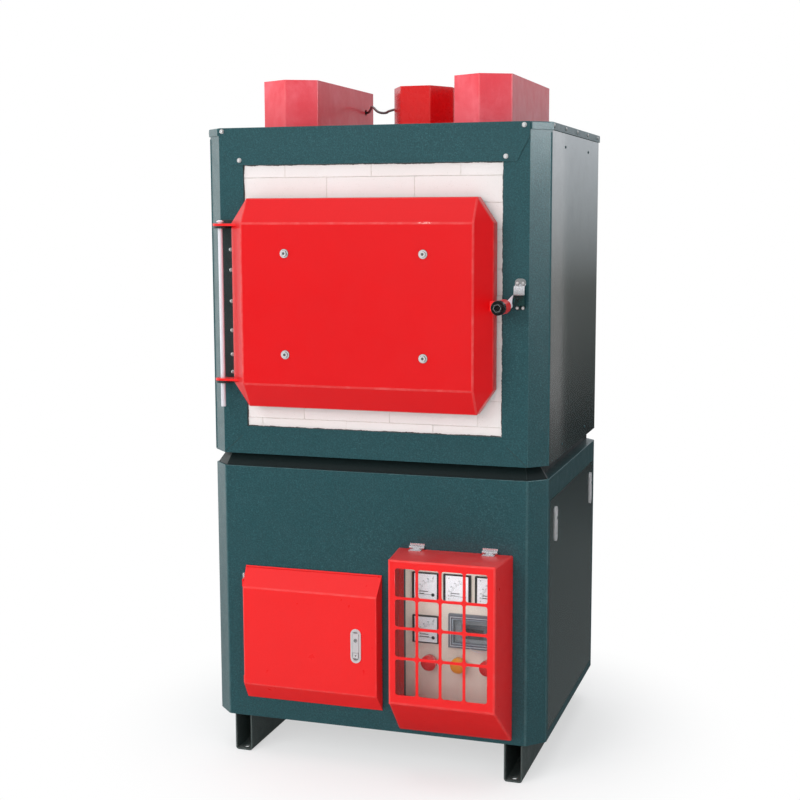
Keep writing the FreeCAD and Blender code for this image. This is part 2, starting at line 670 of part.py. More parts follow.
side_panel = box(HALF_W - 2.5, HALF_W, *inset(SIDE_OPENING, 1.5))
lock_bodies = []
for name, y in SIDE_LOCKS:
    hole = stadium(*LOCK_HOLE, 0, 0, -6, 6)
    hole.rotate(Vector(0, 0, 0), Vector(0, 0, 1), 90)
    hole.translate(Vector(HALF_W, y, SIDE_LOCK_Z))
    side_panel = side_panel.cut(hole)
    body, handle, button = lock((HALF_W, y, SIDE_LOCK_Z), 90)
    lock_bodies.append(body)
    parts["side_handle_" + name] = handle
    parts["side_button_" + name] = button
parts["side_panel_right"] = side_panel
parts["side_locks"] = group(lock_bodies)

# --- grille door, lower right -----------------------------------------------------------------------------------------
GRILLE_Y, GRILLE_REAR_Y = -128.0, -1.0
GRILLE_FACE = (86.0, 357.5, 227.0, 593.5)
GRILLE_RIM = (72.0, 371.0, 115.0, 593.5)
GRILLE_OPENING = (104.0, 338.0, 251.0, 573.0)
BAR_XS = (160.0, 219.5, 280.0)
BAR_ZS = (345.6, 422.5, 498.0)
BAR_W = 7.0
GRILLE_PIN_Y, GRILLE_PIN_Z = -6.5, 599.0
GRILLE_HINGE_XS, GRILLE_HINGE_L = (103.6, 293.6), 39


def between_bars(start, bars, end):
    edges = [start] + [bar + s * BAR_W / 2 for bar in bars for s in (-1, 1)] + [end]
    return list(zip(edges[::2], edges[1::2]))


def grille_door():
    outer = frustum(GRILLE_FACE, GRILLE_Y, GRILLE_RIM, GRILLE_REAR_Y)
    inner = frustum(inset(GRILLE_FACE, 1.6, 1.0, 2.0), GRILLE_Y + 2.0,
                    inset(GRILLE_RIM, 1.6, 2.4, 2.0), GRILLE_REAR_Y - 2.0)
    door = outer.cut(inner)
    door = door.cut(plate(inset(GRILLE_RIM, 15, 15, 13), GRILLE_REAR_Y - 3, GRILLE_REAR_Y + 2))
    left, right, bottom, top = GRILLE_OPENING
    for x0, x1 in between_bars(left, BAR_XS, right):
        for z0, z1 in between_bars(bottom, BAR_ZS, top):
            hole = box(x0, x1, GRILLE_Y - 2, GRILLE_Y + 3, z0, z1)
            door = door.cut(hole.makeFillet(6.0, [
                e for e in hole.Edges if abs(e.Length - 5) < 0.01]))
    return door


def grille_hinge(x0):
    """Fixed leaf, knuckles and pin."""
    x1 = x0 + GRILLE_HINGE_L
    y, z = GRILLE_PIN_Y, GRILLE_PIN_Z
    return fuse([cyl(KNUCKLE_R, 10, x0, y, z, X_DIR), cyl(KNUCKLE_R, 10, x1 - 10, y, z, X_DIR),
                 cyl(SMALL_PIN_R, GRILLE_HINGE_L, x0, y, z, X_DIR),
                 box(x0, x1, -2, -GAP, z - 1, z + 9),
                 box(x0, x0 + 10, y, -1, z - 1, z + 4), box(x1 - 10, x1, y, -1, z - 1, z + 4)])


def grille_leaf(x0):
    """Moving leaf on top of the door."""
    a, b = x0 + 10.3, x0 + 28.7
    y, z = GRILLE_PIN_Y, GRILLE_PIN_Z
    low = GRILLE_FACE[3] + GAP
    leaf = fuse([cyl(KNUCKLE_R, 18.4, a, y, z, X_DIR), box(a, b, y - 4, y, low, z),
                 box(x0 + 4, x0 + GRILLE_HINGE_L - 4, y - 22, y - 5.0, low, low + 2),
                 box(a, b, y - 6, y - 3, low, low + 2)])
    return leaf.cut(cyl(SMALL_PIN_R + RUN, 60, x0 - 5, y, z, X_DIR))


parts["grille_door"] = grille_door()
parts["grille_pane"] = plate(inset(GRILLE_OPENING, -10), GRILLE_Y + 2.2, GRILLE_Y + 5.2)
parts["grille_hinge_leaves"] = group([grille_leaf(x) for x in GRILLE_HINGE_XS])
parts["small_hinges"] = group([service_hinge(z) for z in HINGE_ZS]
                              + [grille_hinge(x) for x in GRILLE_HINGE_XS])

# --- instrument panel ----------------------------------------------------------------------------------------------------
PANEL_Y = 20.0       # face of the panel
METER = 72.0
METERS = ((140.6, 494.0), (223.4, 494.0), (306.2, 494.0), (141.3, 381.4))    # x, z
BUTTONS = (("button_red_left", 154.0), ("button_amber", 231.5), ("button_red_right", 307.0))
BUTTON_Z, STEM_R = 299.5, 9.0
BREAKER = (201.5, 334.5, 340.2, 428.2)


def instrument_panel():
    panel = box(66, 377, PANEL_Y, PANEL_Y + 2, 118, 594)
    holes = [around(x, z, 33.5) for x, z in METERS] + [inset(BREAKER, 10)]
    for rect in holes:
        panel = panel.cut(plate(rect, PANEL_Y - 1, PANEL_Y + 3))
    for _, x in BUTTONS:
        panel = panel.cut(cyl(11.2, 10, x, PANEL_Y - 2, BUTTON_Z, Y_DIR))
    return fuse([panel] + [box(x, x + 18, SHEET + GAP, PANEL_Y, 118, 594) for x in (66, 359)])


def meter(x, z):
    case = fuse([plate(around(x, z, METER / 2), PANEL_Y - 9, PANEL_Y - GAP),
                 plate(around(x, z, 33), PANEL_Y - 1, PANEL_Y + 52)])
    return case.cut(box(x - 30.0, x + 30.0, PANEL_Y - 10, PANEL_Y - 7.5, z - 33.0, z + 33.0))


def breaker_box():
    bezel = plate(BREAKER, 9, PANEL_Y - GAP).cut(plate(inset(BREAKER, 14), 0, 30))
    case = plate(inset(BREAKER, 15), 26, 92).cut(box(238, 290, 20, 48, 362, 400))
    return group([bezel, case])


def breaker_flap():
    x0, x1, z0, z1 = BREAKER
    return fuse([plate(inset(BREAKER, 8, 7, 10), 5.0, 7.6),
                 cyl(2.4, x1 - x0 - 16, x0 + 8, 5.6, z1 - 9.5, X_DIR),
                 box(250, 277, 2.4, 5.2, z0 + 8, z0 + 12)])


def breaker_toggle():
    toggle = fuse([cyl(4, 50, 239, 36, 381, X_DIR), box(239, 289, 15, 36, 378, 384)])
    toggle.rotate(Vector(264, 36, 381), Vector(1, 0, 0), 22)
    return toggle


def button_collar(x):
    collar = fuse([cyl(15, 7.5, x, PANEL_Y - 7.5 - GAP, BUTTON_Z, Y_DIR),
                   cyl(11, 6, x, PANEL_Y - 2, BUTTON_Z, Y_DIR),
                   plate(around(x, BUTTON_Z, 15), PANEL_Y + 2.2, PANEL_Y + 62)])
    return collar.cut(cyl(STEM_R + RUN, 40, x, PANEL_Y - 10, BUTTON_Z, Y_DIR))


def push_button(x):
    dome = Part.makeSphere(34, Vector(x, 18.0, BUTTON_Z))
    head = cyl(20, 20, x, -16, BUTTON_Z, Y_DIR).common(dome)
    return fuse([head, cyl(STEM_R, 38, x, 2, BUTTON_Z, Y_DIR)])


parts["instrument_panel"] = instrument_panel()
parts["panel_meters"] = group([meter(x, z) for x, z in METERS])
parts["breaker_box"] = breaker_box()
parts["breaker_flap"] = breaker_flap()
parts["breaker_toggle"] = breaker_toggle()
parts["button_collars"] = group([button_collar(x) for _, x in BUTTONS])
for name, x in BUTTONS:
    parts[name] = push_button(x)

# --- power gear inside the lower cabinet -------------------------------------------------------------------------------------
COIL_XS = (-310, -210, -110)
GEAR_Y = 640         # front of the mounting plate


def transformer():
    core = box(-330, -90, 350, 420, Z_RAIL + SHEET + 0.5, 345)
    for x in (-290, -190):
        core = core.cut(box(x, x + 60, 340, 480, 157, 295))
    coils = []
    for x in COIL_XS:
        coil = box(x - 34, x + 34, 325, 445, 162, 290)
        coil = coil.cut(box(x - 20.5, x + 20.5, 349.5, 420.5, 100, 400))
        coil = coil.makeFillet(12, [
            e for e in coil.Edges if e.Length > 120
            and abs(abs(e.CenterOfMass.x - x) - 34) < 0.1 and abs(e.CenterOfMass.z - 226) < 1])
        # coils are trimmed flat where they face each other
        x0 = x - (34 if x == COIL_XS[0] else 29.5)
        x1 = x + (34 if x == COIL_XS[-1] else 29.5)
        coils.append(coil.common(box(x0, x1, 300, 500, 0, 500)))
    return group([core] + coils)


def control_gear():
    back = GEAR_Y - GAP
    gear = [box(-380, 380, GEAR_Y, GEAR_Y + 3, 150, 730)]
    for x in (-330, -250, -170):     # stepped blocks
        gear.append(fuse([box(x, x + 60, 560, back, 560, 650),
                          box(x + 8, x + 52, 545, 561, 575, 635)]))
    for x in (-40, 80):              # finned blocks
        fins = [box(x + 2 + i * 10, x + 5 + i * 10, 560, 601, 520, 680) for i in range(9)]
        gear.append(fuse([box(x, x + 90, 600, back, 520, 680)] + fins))
    for i in range(12):              # row of small blocks
        gear.append(box(-330 + i * 22, -310 + i * 22, 596, back, 440, 490))
    gear.append(box(-330, 340, 590, back, 390, 425))
    return group(gear)


parts["transformer"] = transformer()
parts["control_gear"] = control_gear()

# --- fasteners of the casing ------------------------------------------------------------------------------------------------------
LID_SCREW_Z = Z_TOP - 9
# x, z
RAIL_BOLTS = ((-395.9, 1644.5), (391.3, 1644.5), (-348.5, 1571.2), (346.5, 1571.2))
HINGE_SCREW_X = -376.0
HINGE_SCREW_ZS = (1345.7, 1293.7, 1213.5, 1138.0, 1075.7, 1029.9)


def casing_screws():
    screws = []
    for x, z in RAIL_BOLTS:          # washer and hexagon
        y = -3 - GAP
        screws.append(fuse([cyl(6.2, 1.2, x, y, z, FRONT), hex_head(4.6, 3.6, x, y - 1.2, z)]))
    lid_gap = LID_OVERHANG + GAP
    for y in (49.0, 196.5, 348.0, 500.5, 653.0):
        for side in SIDES:
            screws.append(screw(side * (HALF_W + lid_gap), y, LID_SCREW_Z, (side, 0, 0)))
    for x in (-320.0, -107.0, 107.0, 320.0):
        screws.append(screw(x, DEPTH + lid_gap, LID_SCREW_Z, Y_DIR))
        for z in (860.0, 1220.0, 1580.0):
            screws.append(screw(x, DEPTH + GAP, z, Y_DIR))
    for x in (-375.0, 0.0, 375.0):
        for z in (148.0, 737.0):
            screws.append(screw(x, DEPTH + 2 + GAP, z, Y_DIR))
    for side in SIDES:
        for y in (208.6, 527.0):
            for z in (845.6, 1600.0):
                screws.append(screw(side * (HALF_W + GAP), y, z, (side, 0, 0), 3.6, 1.8))
    for y in (90.0, 368.0, 646.0):
        for z in (128.0, 722.0):
            screws.append(screw(-HALF_W - 2 - GAP, y, z, (-1, 0, 0)))
    for z in (1268.5, 1208.3):       # latch keeper
        for x in (377.5, 391.5):
            screws.append(screw(x, -3 - GAP, z, FRONT, 4.2, 2.4))
    for z in HINGE_SCREW_ZS:
        screws.append(screw(HINGE_SCREW_X, -4 - GAP, z, FRONT, 6.0, 3.6))
    return group(screws)


parts["casing_screws"] = casing_screws()

# --- export -----------------------------------------------------------------------------------------------------------------------
os.makedirs("parts", exist_ok=True)
for name, shape in parts.items():
    shape.translate(Vector(0, -DEPTH / 2, 0))
    shape.exportStep("parts/" + name + ".step")
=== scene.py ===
import bpy
import bmesh
import json
import math
import random
from mathutils import Vector, Matrix, noise

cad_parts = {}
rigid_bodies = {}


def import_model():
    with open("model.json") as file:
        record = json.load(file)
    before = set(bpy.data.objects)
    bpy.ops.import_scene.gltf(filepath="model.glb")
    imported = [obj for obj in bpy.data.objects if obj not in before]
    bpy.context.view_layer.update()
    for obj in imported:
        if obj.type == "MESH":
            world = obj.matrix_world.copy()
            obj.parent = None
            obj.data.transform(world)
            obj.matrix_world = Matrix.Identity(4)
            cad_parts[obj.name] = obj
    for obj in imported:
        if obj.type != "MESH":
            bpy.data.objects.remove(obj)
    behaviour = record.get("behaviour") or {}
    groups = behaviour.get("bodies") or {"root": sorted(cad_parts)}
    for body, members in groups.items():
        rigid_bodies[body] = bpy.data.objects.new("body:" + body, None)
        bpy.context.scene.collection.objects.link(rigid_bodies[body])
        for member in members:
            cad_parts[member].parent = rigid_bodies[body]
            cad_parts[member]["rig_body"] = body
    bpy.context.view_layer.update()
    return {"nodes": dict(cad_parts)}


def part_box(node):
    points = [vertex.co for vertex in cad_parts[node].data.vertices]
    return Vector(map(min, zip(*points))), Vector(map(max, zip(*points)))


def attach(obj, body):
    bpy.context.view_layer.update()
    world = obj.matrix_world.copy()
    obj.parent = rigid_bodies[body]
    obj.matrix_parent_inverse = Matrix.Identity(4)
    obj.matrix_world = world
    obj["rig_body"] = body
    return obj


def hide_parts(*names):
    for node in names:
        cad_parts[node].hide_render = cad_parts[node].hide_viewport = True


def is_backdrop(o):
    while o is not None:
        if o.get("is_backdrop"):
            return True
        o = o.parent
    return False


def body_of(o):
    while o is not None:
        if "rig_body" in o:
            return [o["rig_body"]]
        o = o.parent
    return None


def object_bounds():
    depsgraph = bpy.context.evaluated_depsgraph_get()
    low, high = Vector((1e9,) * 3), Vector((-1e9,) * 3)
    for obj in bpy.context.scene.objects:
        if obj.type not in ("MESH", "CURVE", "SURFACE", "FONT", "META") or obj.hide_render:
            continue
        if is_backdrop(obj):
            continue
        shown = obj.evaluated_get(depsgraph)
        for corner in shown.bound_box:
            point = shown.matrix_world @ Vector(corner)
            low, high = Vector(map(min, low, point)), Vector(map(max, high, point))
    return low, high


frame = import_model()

NODES = frame["nodes"]
D2 = 367.5                      # half the casing depth: the row frame is centred on the foot bolts
SCN = bpy.context.scene
R = math.radians


def P(x, y, z):
    """drawing millimetres (y from the front plane) to the row frame in metres"""
    return Vector((x, y - D2, z)) / 1000.0


# =============================================================================
# materials
# =============================================================================
class G:
    """one node material"""

    def __init__(self, name):
        self.m = bpy.data.materials.get(name + "_mat") or bpy.data.materials.new(name + "_mat")
        self.m.use_nodes = True
        self.t = self.m.node_tree
        self.t.nodes.clear()
        self.out = self.t.nodes.new("ShaderNodeOutputMaterial")
        self.co = self.t.nodes.new("ShaderNodeTexCoord").outputs["Object"]

    def n(self, kind, ins=None, **props):
        x = self.t.nodes.new("ShaderNode" + kind)
        for k, v in props.items():
            setattr(x, k, v)
        for k, v in (ins or {}).items():
            if isinstance(v, bpy.types.NodeSocket):
                self.t.links.new(v, x.inputs[k])
            else:
                x.inputs[k].default_value = v
        return x

    def noise(self, scale, detail=3.0, rough=0.55, dist=0.0, vec=None, w=None):
        ins = {"Vector": vec or self.co, "Scale": scale, "Detail": detail, "Roughness": rough, "Distortion": dist}
        return self.n("TexNoise", ins).outputs["Fac"]

    def voro(self, scale, feature="F1", rand=1.0, out="Distance", vec=None):
        return self.n("TexVoronoi", {"Vector": vec or self.co, "Scale": scale, "Randomness": rand}, feature=feature).outputs[out]

    def map(self, v, a, b, c=0.0, d=1.0, smooth=False):
        return self.n("MapRange", {"Value": v, "From Min": a, "From Max": b, "To Min": c, "To Max": d},
                      interpolation_type="SMOOTHSTEP" if smooth else "LINEAR").outputs["Result"]

    def math(self, op, a, b=0.0, clamp=False):
        return self.n("Math", {0: a, 1: b}, operation=op, use_clamp=clamp).outputs[0]

    def mix(self, f, a, b, kind="MIX"):
        x = self.n("Mix", data_type="RGBA", blend_type=kind)
        for k, v in ((0, f), (6, a), (7, b)):
            if isinstance(v, bpy.types.NodeSocket):
                self.t.links.new(v, x.inputs[k])
            else:
                x.inputs[k].default_value = v if k == 0 else tuple(v) + (1.0,) * (4 - len(v))
        return x.outputs[2]

    def attr(self, name="edge"):
        return self.n("Attribute", attribute_name=name).outputs["Fac"]

    def stretch(self, sx, sy, sz):
        return self.n("Mapping", {"Vector": self.co, "Scale": (sx, sy, sz)}).outputs["Vector"]

    def bump(self, h, dist, strength=1.0, nrm=None):
        ins = {"Height": h, "Distance": dist, "Strength": strength}
        if nrm is not None:
            ins["Normal"] = nrm
        return self.n("Bump", ins).outputs["Normal"]

    def up(self):
        g = self.n("NewGeometry")
        return self.n("SeparateXYZ", {0: g.outputs["Normal"]}).outputs["Z"]

    def done(self, **ins):
        b = self.n("BsdfPrincipled")
        for k, v in ins.items():
            k = k.replace("_", " ")
            if isinstance(v, bpy.types.NodeSocket):
                self.t.links.new(v, b.inputs[k])
            else:
                b.inputs[k].default_value = v
        self.t.links.new(b.outputs[0], self.out.inputs["Surface"])
        return self.m


def hx(r, g, b):
    """display colour 0..255 to linear"""
    def f(c):
        c /= 255.0
        return c / 12.92 if c <= 0.04045 else ((c + 0.055) / 1.055) ** 2.4
    return (f(r), f(g), f(b), 1.0)


def paint(name, base, rough=0.3, coat=0.5, coat_rough=0.08, cell=420.0, cell_amp=0.12, bump=0.00016, peel=90.0,
          peel_amp=0.00005, wear_and_highlight=(0.3, 0.3, 0.3), wear_and_highlight_amt=0.5, dust=0.12, smudge=0.10, blotch=0.0, spec=0.5, chip=None, sparkle=0.0):
    g = G(name)
    # hammered grain: closed cells with a soft rim, broken up by a finer noise
    v = g.voro(cell, "SMOOTH_F1")
    fine = g.noise(cell * 2.1, 2.0, 0.6)
    grain = g.math("ADD", g.math("MULTIPLY", v, 0.9), g.math("MULTIPLY", fine, 0.6))
    slow = g.noise(3.2, 4.0, 0.6)
    mid = g.noise(26.0, 5.0, 0.65, 0.4)
    dark = tuple(c * (1 - cell_amp * 2.2) for c in base[:3])
    lite = tuple(min(1.0, c * (1 + cell_amp * 2.2)) for c in base[:3])
    col = g.mix(g.map(grain, 0.35, 0.95), dark, lite)
    col = g.mix(g.map(slow, 0.3, 0.75, 0.0, 0.22), col, tuple(c * 0.80 for c in base[:3]))
    if blotch:
        # wiped powder and hand marks
        bl = g.noise(11.0, 6.0, 0.62, 0.25)
        bl2 = g.noise(5.0, 3.0, 0.5, 0.1)
        st = g.noise(26.0, 4.0, 0.6, 0.3, g.stretch(1.0, 1.0, 0.28))
        f = g.math("MULTIPLY", g.map(bl, 0.42, 0.70, 0.0, 1.0, True), g.map(bl2, 0.35, 0.62, 0.2, 1.0, True))
        f = g.math("ADD", g.math("MULTIPLY", f, 0.8), g.map(st, 0.5, 0.75, 0.0, 0.35))
        col = g.mix(g.math("MULTIPLY", f, blotch, True), col, (min(1, base[0] * 1.05 + 0.08), base[1] + 0.13, base[2] + 0.15))
    if sparkle:
        # flakes of the hammered finish that catch the light
        fl = g.voro(cell * 1.35, "F1", 1.0, "Color")
        fv = g.n("SeparateColor", {0: fl}).outputs[0]
        patch = g.map(g.noise(7.0, 3.0, 0.6), 0.35, 0.7, 0.35, 1.0)
        col = g.mix(g.math("MULTIPLY", g.map(fv, 0.74, 1.0, 0.0, sparkle), patch), col, tuple(min(1.0, c * 2.3 + 0.03) for c in base[:3]))
        col = g.mix(g.math("MULTIPLY", g.map(fv, 0.30, 0.0, 0.0, sparkle * 0.8), patch), col, tuple(c * 0.45 for c in base[:3]))
    # dust that settles on upward faces
    du = g.math("MULTIPLY", g.map(g.up(), 0.55, 1.0, 0.0, dust), g.map(mid, 0.35, 0.7))
    col = g.mix(du, col, (0.55, 0.53, 0.50))
    # folds: a faint unbroken lighter line along every fold, a painted highlight, with a few rubbed places of real wear
    edge_rub_and_highlight = g.math("MULTIPLY", g.attr("edge"), g.map(g.noise(34.0, 6.0, 0.6), 0.46, 0.74, wear_and_highlight_amt * 0.35, wear_and_highlight_amt))
    if chip:
        # paint knocked off along the fold
        sp = g.n("SeparateXYZ", {0: g.co})
        dx = g.math("DIVIDE", g.math("SUBTRACT", sp.outputs[0], chip[0]), chip[2])
        dz = g.math("DIVIDE", g.math("SUBTRACT", sp.outputs[2], chip[1]), chip[3])
        d2 = g.math("ADD", g.math("MULTIPLY", dx, dx), g.math("MULTIPLY", dz, dz))
        cm_ = g.math("MULTIPLY", g.map(d2, 0.6, 1.1, 1.0, 0.0), g.map(g.noise(260.0, 5.0, 0.7), 0.47, 0.55))
        edge_rub_and_highlight = g.math("MAXIMUM", edge_rub_and_highlight, g.math("MULTIPLY", cm_, 0.85))
    col = g.mix(edge_rub_and_highlight, col, wear_and_highlight)
    ro = g.math("ADD", g.map(mid, 0.3, 0.75, rough - 0.05, rough + smudge), g.math("MULTIPLY", edge_rub_and_highlight, 0.15))
    ro = g.math("ADD", ro, g.math("MULTIPLY", du, 0.8), True)
    nb = g.bump(grain, bump, 1.0)
    nb = g.bump(g.noise(peel, 2.0, 0.5), peel_amp, 1.0, nb)
    return g.done(Base_Color=col, Roughness=ro, Normal=nb, Coat_Weight=coat, Coat_Roughness=coat_rough,
                  Coat_Normal=g.bump(g.noise(peel, 2.0, 0.5), peel_amp, 1.0), Specular_IOR_Level=spec)


def metal(name, base, rough=0.25, brush=None, bump=0.00004, spots=0.0, tint=(0.4, 0.37, 0.33), wear_and_highlight=0.0, spangle=0.0, metallic=1.0):
    g = G(name)
    vec = g.stretch(*(brush or (1, 1, 1)))
    line = g.noise(900.0 if brush else 300.0, 3.0, 0.6, 0.0, vec)
    mid = g.noise(45.0, 6.0, 0.7, 0.5)
    col = g.mix(g.map(line, 0.3, 0.7), tuple(c * 0.88 for c in base[:3]), base[:3])
    if spangle:
        sp = g.voro(130.0, "F1", 1.0, "Color")
        sv = g.n("SeparateColor", {0: sp}).outputs[0]
        col = g.mix(spangle, col, g.mix(sv, tuple(c * 0.7 for c in base[:3]), tuple(min(1, c * 1.15) for c in base[:3])))
    if spots:
        col = g.mix(g.map(g.noise(160.0, 7.0, 0.75), 0.60, 0.72, 0.0, spots), col, tint)
    ro = g.math("ADD", g.map(mid, 0.3, 0.75, rough * 0.75, rough * 1.5), g.map(line, 0.3, 0.7, 0.0, 0.06))
    nb = g.bump(line, bump, 1.0)
    nb = g.bump(mid, bump * 3, 0.6, nb)
    return g.done(Base_Color=col, Metallic=metallic, Roughness=ro, Normal=nb)


def plastic(name, base, rough=0.35, grain=700.0, bump=0.00005, coat=0.0, var=0.1, trans=0.0, sub=0.0, scuff_and_highlight=0.25, lift=0.05):
    g = G(name)
    fine = g.noise(grain, 2.0, 0.5)
    mid = g.noise(38.0, 5.0, 0.65)
    col = g.mix(g.map(mid, 0.3, 0.75), tuple(c * (1 - var) for c in base[:3]), tuple(min(1.0, c * (1 + var * 0.5)) for c in base[:3]))
    # edges lightened by scuffing; on the knob the strong setting paints highlight lines
    edge_rub_and_highlight = g.math("MULTIPLY", g.attr("edge"), g.map(g.noise(150.0, 5.0, 0.7), 0.5, 0.7, 0.0, scuff_and_highlight))
    col = g.mix(edge_rub_and_highlight, col, tuple(min(1.0, c * 1.6 + lift) for c in base[:3]))
    ro = g.math("ADD", g.map(mid, 0.3, 0.75, rough * 0.8, rough * 1.25), g.math("MULTIPLY", edge_rub_and_highlight, 0.2))
    ins = dict(Base_Color=col, Roughness=ro, Normal=g.bump(fine, bump, 1.0), Coat_Weight=coat, Coat_Roughness=0.04)
    if sub:
        ins.update(Subsurface_Weight=sub, Subsurface_Scale=0.004)
    return g.done(**ins)


def pane(name, tint, veil=0.02, gloss=1.0):
    """clear sheet: straight-through light, a Fresnel gloss, a haze of dust and fine wiping marks"""
    g = G(name)
    tr = g.n("BsdfTransparent", {"Color": tint})
    smear = g.noise(22.0, 6.0, 0.7, 0.8)
    arcs = g.n("TexWave", {"Vector": g.co, "Scale": 60.0, "Distortion": 9.0, "Detail": 3.0, "Detail Scale": 2.0}).outputs["Fac"]
    gl = g.n("BsdfGlossy", {"Color": (1, 1, 1, 1), "Roughness": g.map(smear, 0.3, 0.7, 0.015, 0.07)})
    df = g.n("BsdfDiffuse", {"Color": (0.85, 0.85, 0.84, 1)})
    fr = g.n("Fresnel", {"IOR": 1.49}).outputs[0]
    a = g.n("MixShader", {0: g.math("MULTIPLY", fr, gloss), 1: tr.outputs[0], 2: gl.outputs[0]})
    hz = g.math("MULTIPLY", g.map(smear, 0.4, 0.8, veil * 0.4, veil * 1.6), g.map(arcs, 0.2, 0.9, 0.7, 1.2))
    b = g.n("MixShader", {0: hz, 1: a.outputs[0], 2: df.outputs[0]})
    g.t.links.new(b.outputs[0], g.out.inputs["Surface"])
    return g.m


def brick(name, base, warm, pit=0.5, fuzz=False):
    g = G(name)
    tone = g.n("SeparateColor", {0: g.voro(1.0, "F1", 1.0, "Color", g.stretch(5.0, 1.0, 15.4))}).outputs[0]
    rnd = g.attr("tone")
    slow = g.noise(9.0, 5.0, 0.62, 0.2)
    fine = g.noise(420.0, 5.0, 0.72)
    pores = g.map(g.voro(230.0, "F1"), 0.0, 0.22, 1.0, 0.0)
    pores = g.math("MULTIPLY", pores, g.map(g.noise(60.0, 2.0), 0.5, 0.62))
    grog = g.map(g.voro(95.0, "F1"), 0.0, 0.17, 1.0, 0.0)
    col = g.mix(g.map(rnd, 0.0, 1.0, 0.0, 0.55), base, warm)
    col = g.mix(g.map(slow, 0.35, 0.7, 0.0, 0.35), col, tuple(c * 0.93 for c in warm[:3]))
    col = g.mix(g.map(fine, 0.35, 0.75, 0.0, 0.25), col, tuple(c * 0.86 for c in base[:3]))
    col = g.mix(g.math("MULTIPLY", grog, 0.18), col, (0.62, 0.50, 0.36))
    col = g.mix(g.math("MULTIPLY", pores, pit), col, (0.40, 0.34, 0.27))
    edge = g.math("MULTIPLY", g.attr("edge"), g.map(g.noise(140.0, 5.0, 0.7), 0.42, 0.62, 0.0, 0.55))
    col = g.mix(edge, col, (0.66, 0.60, 0.50))
    h = g.math("SUBTRACT", g.math("MULTIPLY", fine, 0.5), g.math("MULTIPLY", pores, 0.9))
    h = g.math("ADD", h, g.math("MULTIPLY", slow, 0.8))
    return g.done(Base_Color=col, Roughness=g.map(fine, 0.3, 0.7, 0.82, 0.97), Normal=g.bump(h, 0.0006, 1.0), Specular_IOR_Level=0.25)


MAT = {}
MAT["green_hammer"] = paint("green_hammer", (0.0150, 0.0700, 0.0800, 1), 0.36, 0.30, 0.16, 330.0, 0.13, 0.00026, 110.0, 0.00006,
                            (0.09, 0.19, 0.20), 0.5, 0.06, 0.10, spec=0.4, sparkle=0.32)
MAT["green_gloss"] = paint("green_gloss", (0.0105, 0.0310, 0.0325, 1), 0.15, 1.0, 0.035, 260.0, 0.03, 0.000006, 40.0, 0.000012,
                           (0.10, 0.16, 0.17), 0.3, 0.05, 0.08)
MAT["dark_paint"] = paint("dark_paint", (0.0190, 0.0310, 0.0305, 1), 0.36, 0.35, 0.12, 520.0, 0.12, 0.00012, 70.0, 0.00008,
                          (0.16, 0.17, 0.16), 0.5, 0.22, 0.15, sparkle=0.35)
MAT["red_gloss"] = paint("red_gloss", (0.915, 0.0120, 0.0130, 1), 0.32, 0.30, 0.14, 520.0, 0.010, 0.00003, 60.0, 0.00003,
                         (0.92, 0.24, 0.22), 0.26, 0.16, 0.05, spec=0.42)
# door red: the near-white colour along its folds paints a highlight line; the chip is knocked-off paint
MAT["red_door"] = paint("red_door", (0.735, 0.0038, 0.0065, 1), 0.34, 0.12, 0.14, 520.0, 0.010, 0.00003, 60.0, 0.00003,
                        (0.93, 0.55, 0.50), 0.16, 0.03, 0.05, spec=0.32, chip=(0.167, 1.4135, 0.019, 0.0026))
# darker copy of the red for the middle cover: painted shade
MAT["red_mid"] = paint("red_mid", (0.800, 0.0030, 0.0040, 1), 0.28, 0.25, 0.10, 520.0, 0.010, 0.00003, 50.0, 0.00004,
                       (0.92, 0.24, 0.22), 0.25, 0.05, 0.05, spec=0.35)
MAT["red_wiped"] = paint("red_wiped", (0.900, 0.058, 0.082, 1), 0.40, 0.25, 0.2, 520.0, 0.015, 0.00004, 90.0, 0.00003,
                         (0.95, 0.34, 0.32), 0.25, 0.08, 0.08, 0.75)
MAT["foot_paint"] = paint("foot_paint", (0.060, 0.082, 0.078, 1), 0.40, 0.35, 0.14, 520.0, 0.12, 0.00012, 70.0, 0.00008,
                          (0.22, 0.24, 0.23), 0.6, 0.25, 0.15, sparkle=0.30)
# near-black for the neck between the two cabinets: its dark paint, darkened further as painted shade of the recess
MAT["neck_paint"] = paint("neck_paint", (0.0060, 0.0125, 0.0125, 1), 0.45, 0.10, 0.16, 520.0, 0.12, 0.00012, 70.0, 0.00008,
                          (0.12, 0.14, 0.14), 0.4, 0.15, 0.12, spec=0.25)
MAT["firebrick"] = brick("firebrick", (0.875, 0.835, 0.82), (0.845, 0.795, 0.765))
MAT["mortar"] = brick("mortar", (0.84, 0.79, 0.76), (0.80, 0.74, 0.70), 0.4)
MAT["fibre"] = brick("fibre", (0.82, 0.80, 0.76), (0.80, 0.77, 0.71), 0.15)
MAT["chrome"] = metal("chrome", (0.88, 0.89, 0.90), 0.09, None, 0.000008, 0.05)
# bright and dark copies of one bolt steel: the dark copy goes on the flanks and centre dish of the heads as painted
# shade
MAT["bolt_bright"] = metal("bolt_bright", (0.92, 0.91, 0.91), 0.28, None, 0.00003, 0.2, metallic=0.45)
# keeper materials: one chrome strap given three tones by height, a bright band, a mid-grey top lobe and a dark green
# lower band, all painted reflections
MAT["keeper_chrome"] = metal("keeper_chrome", (0.95, 0.95, 0.97), 0.12, None, 0.000008, 0.05, metallic=0.75)
MAT["keeper_lobe"] = metal("keeper_lobe", (0.42, 0.45, 0.45), 0.30, None, 0.00002, 0.15, metallic=0.6)
MAT["keeper_dull"] = metal("keeper_dull", (0.055, 0.150, 0.145), 0.20, None, 0.00002, 0.15, (0.05, 0.08, 0.08), metallic=0.9)
MAT["bolt_dim"] = metal("bolt_dim", (0.20, 0.19, 0.18), 0.34, None, 0.00003, 0.3, metallic=0.8)
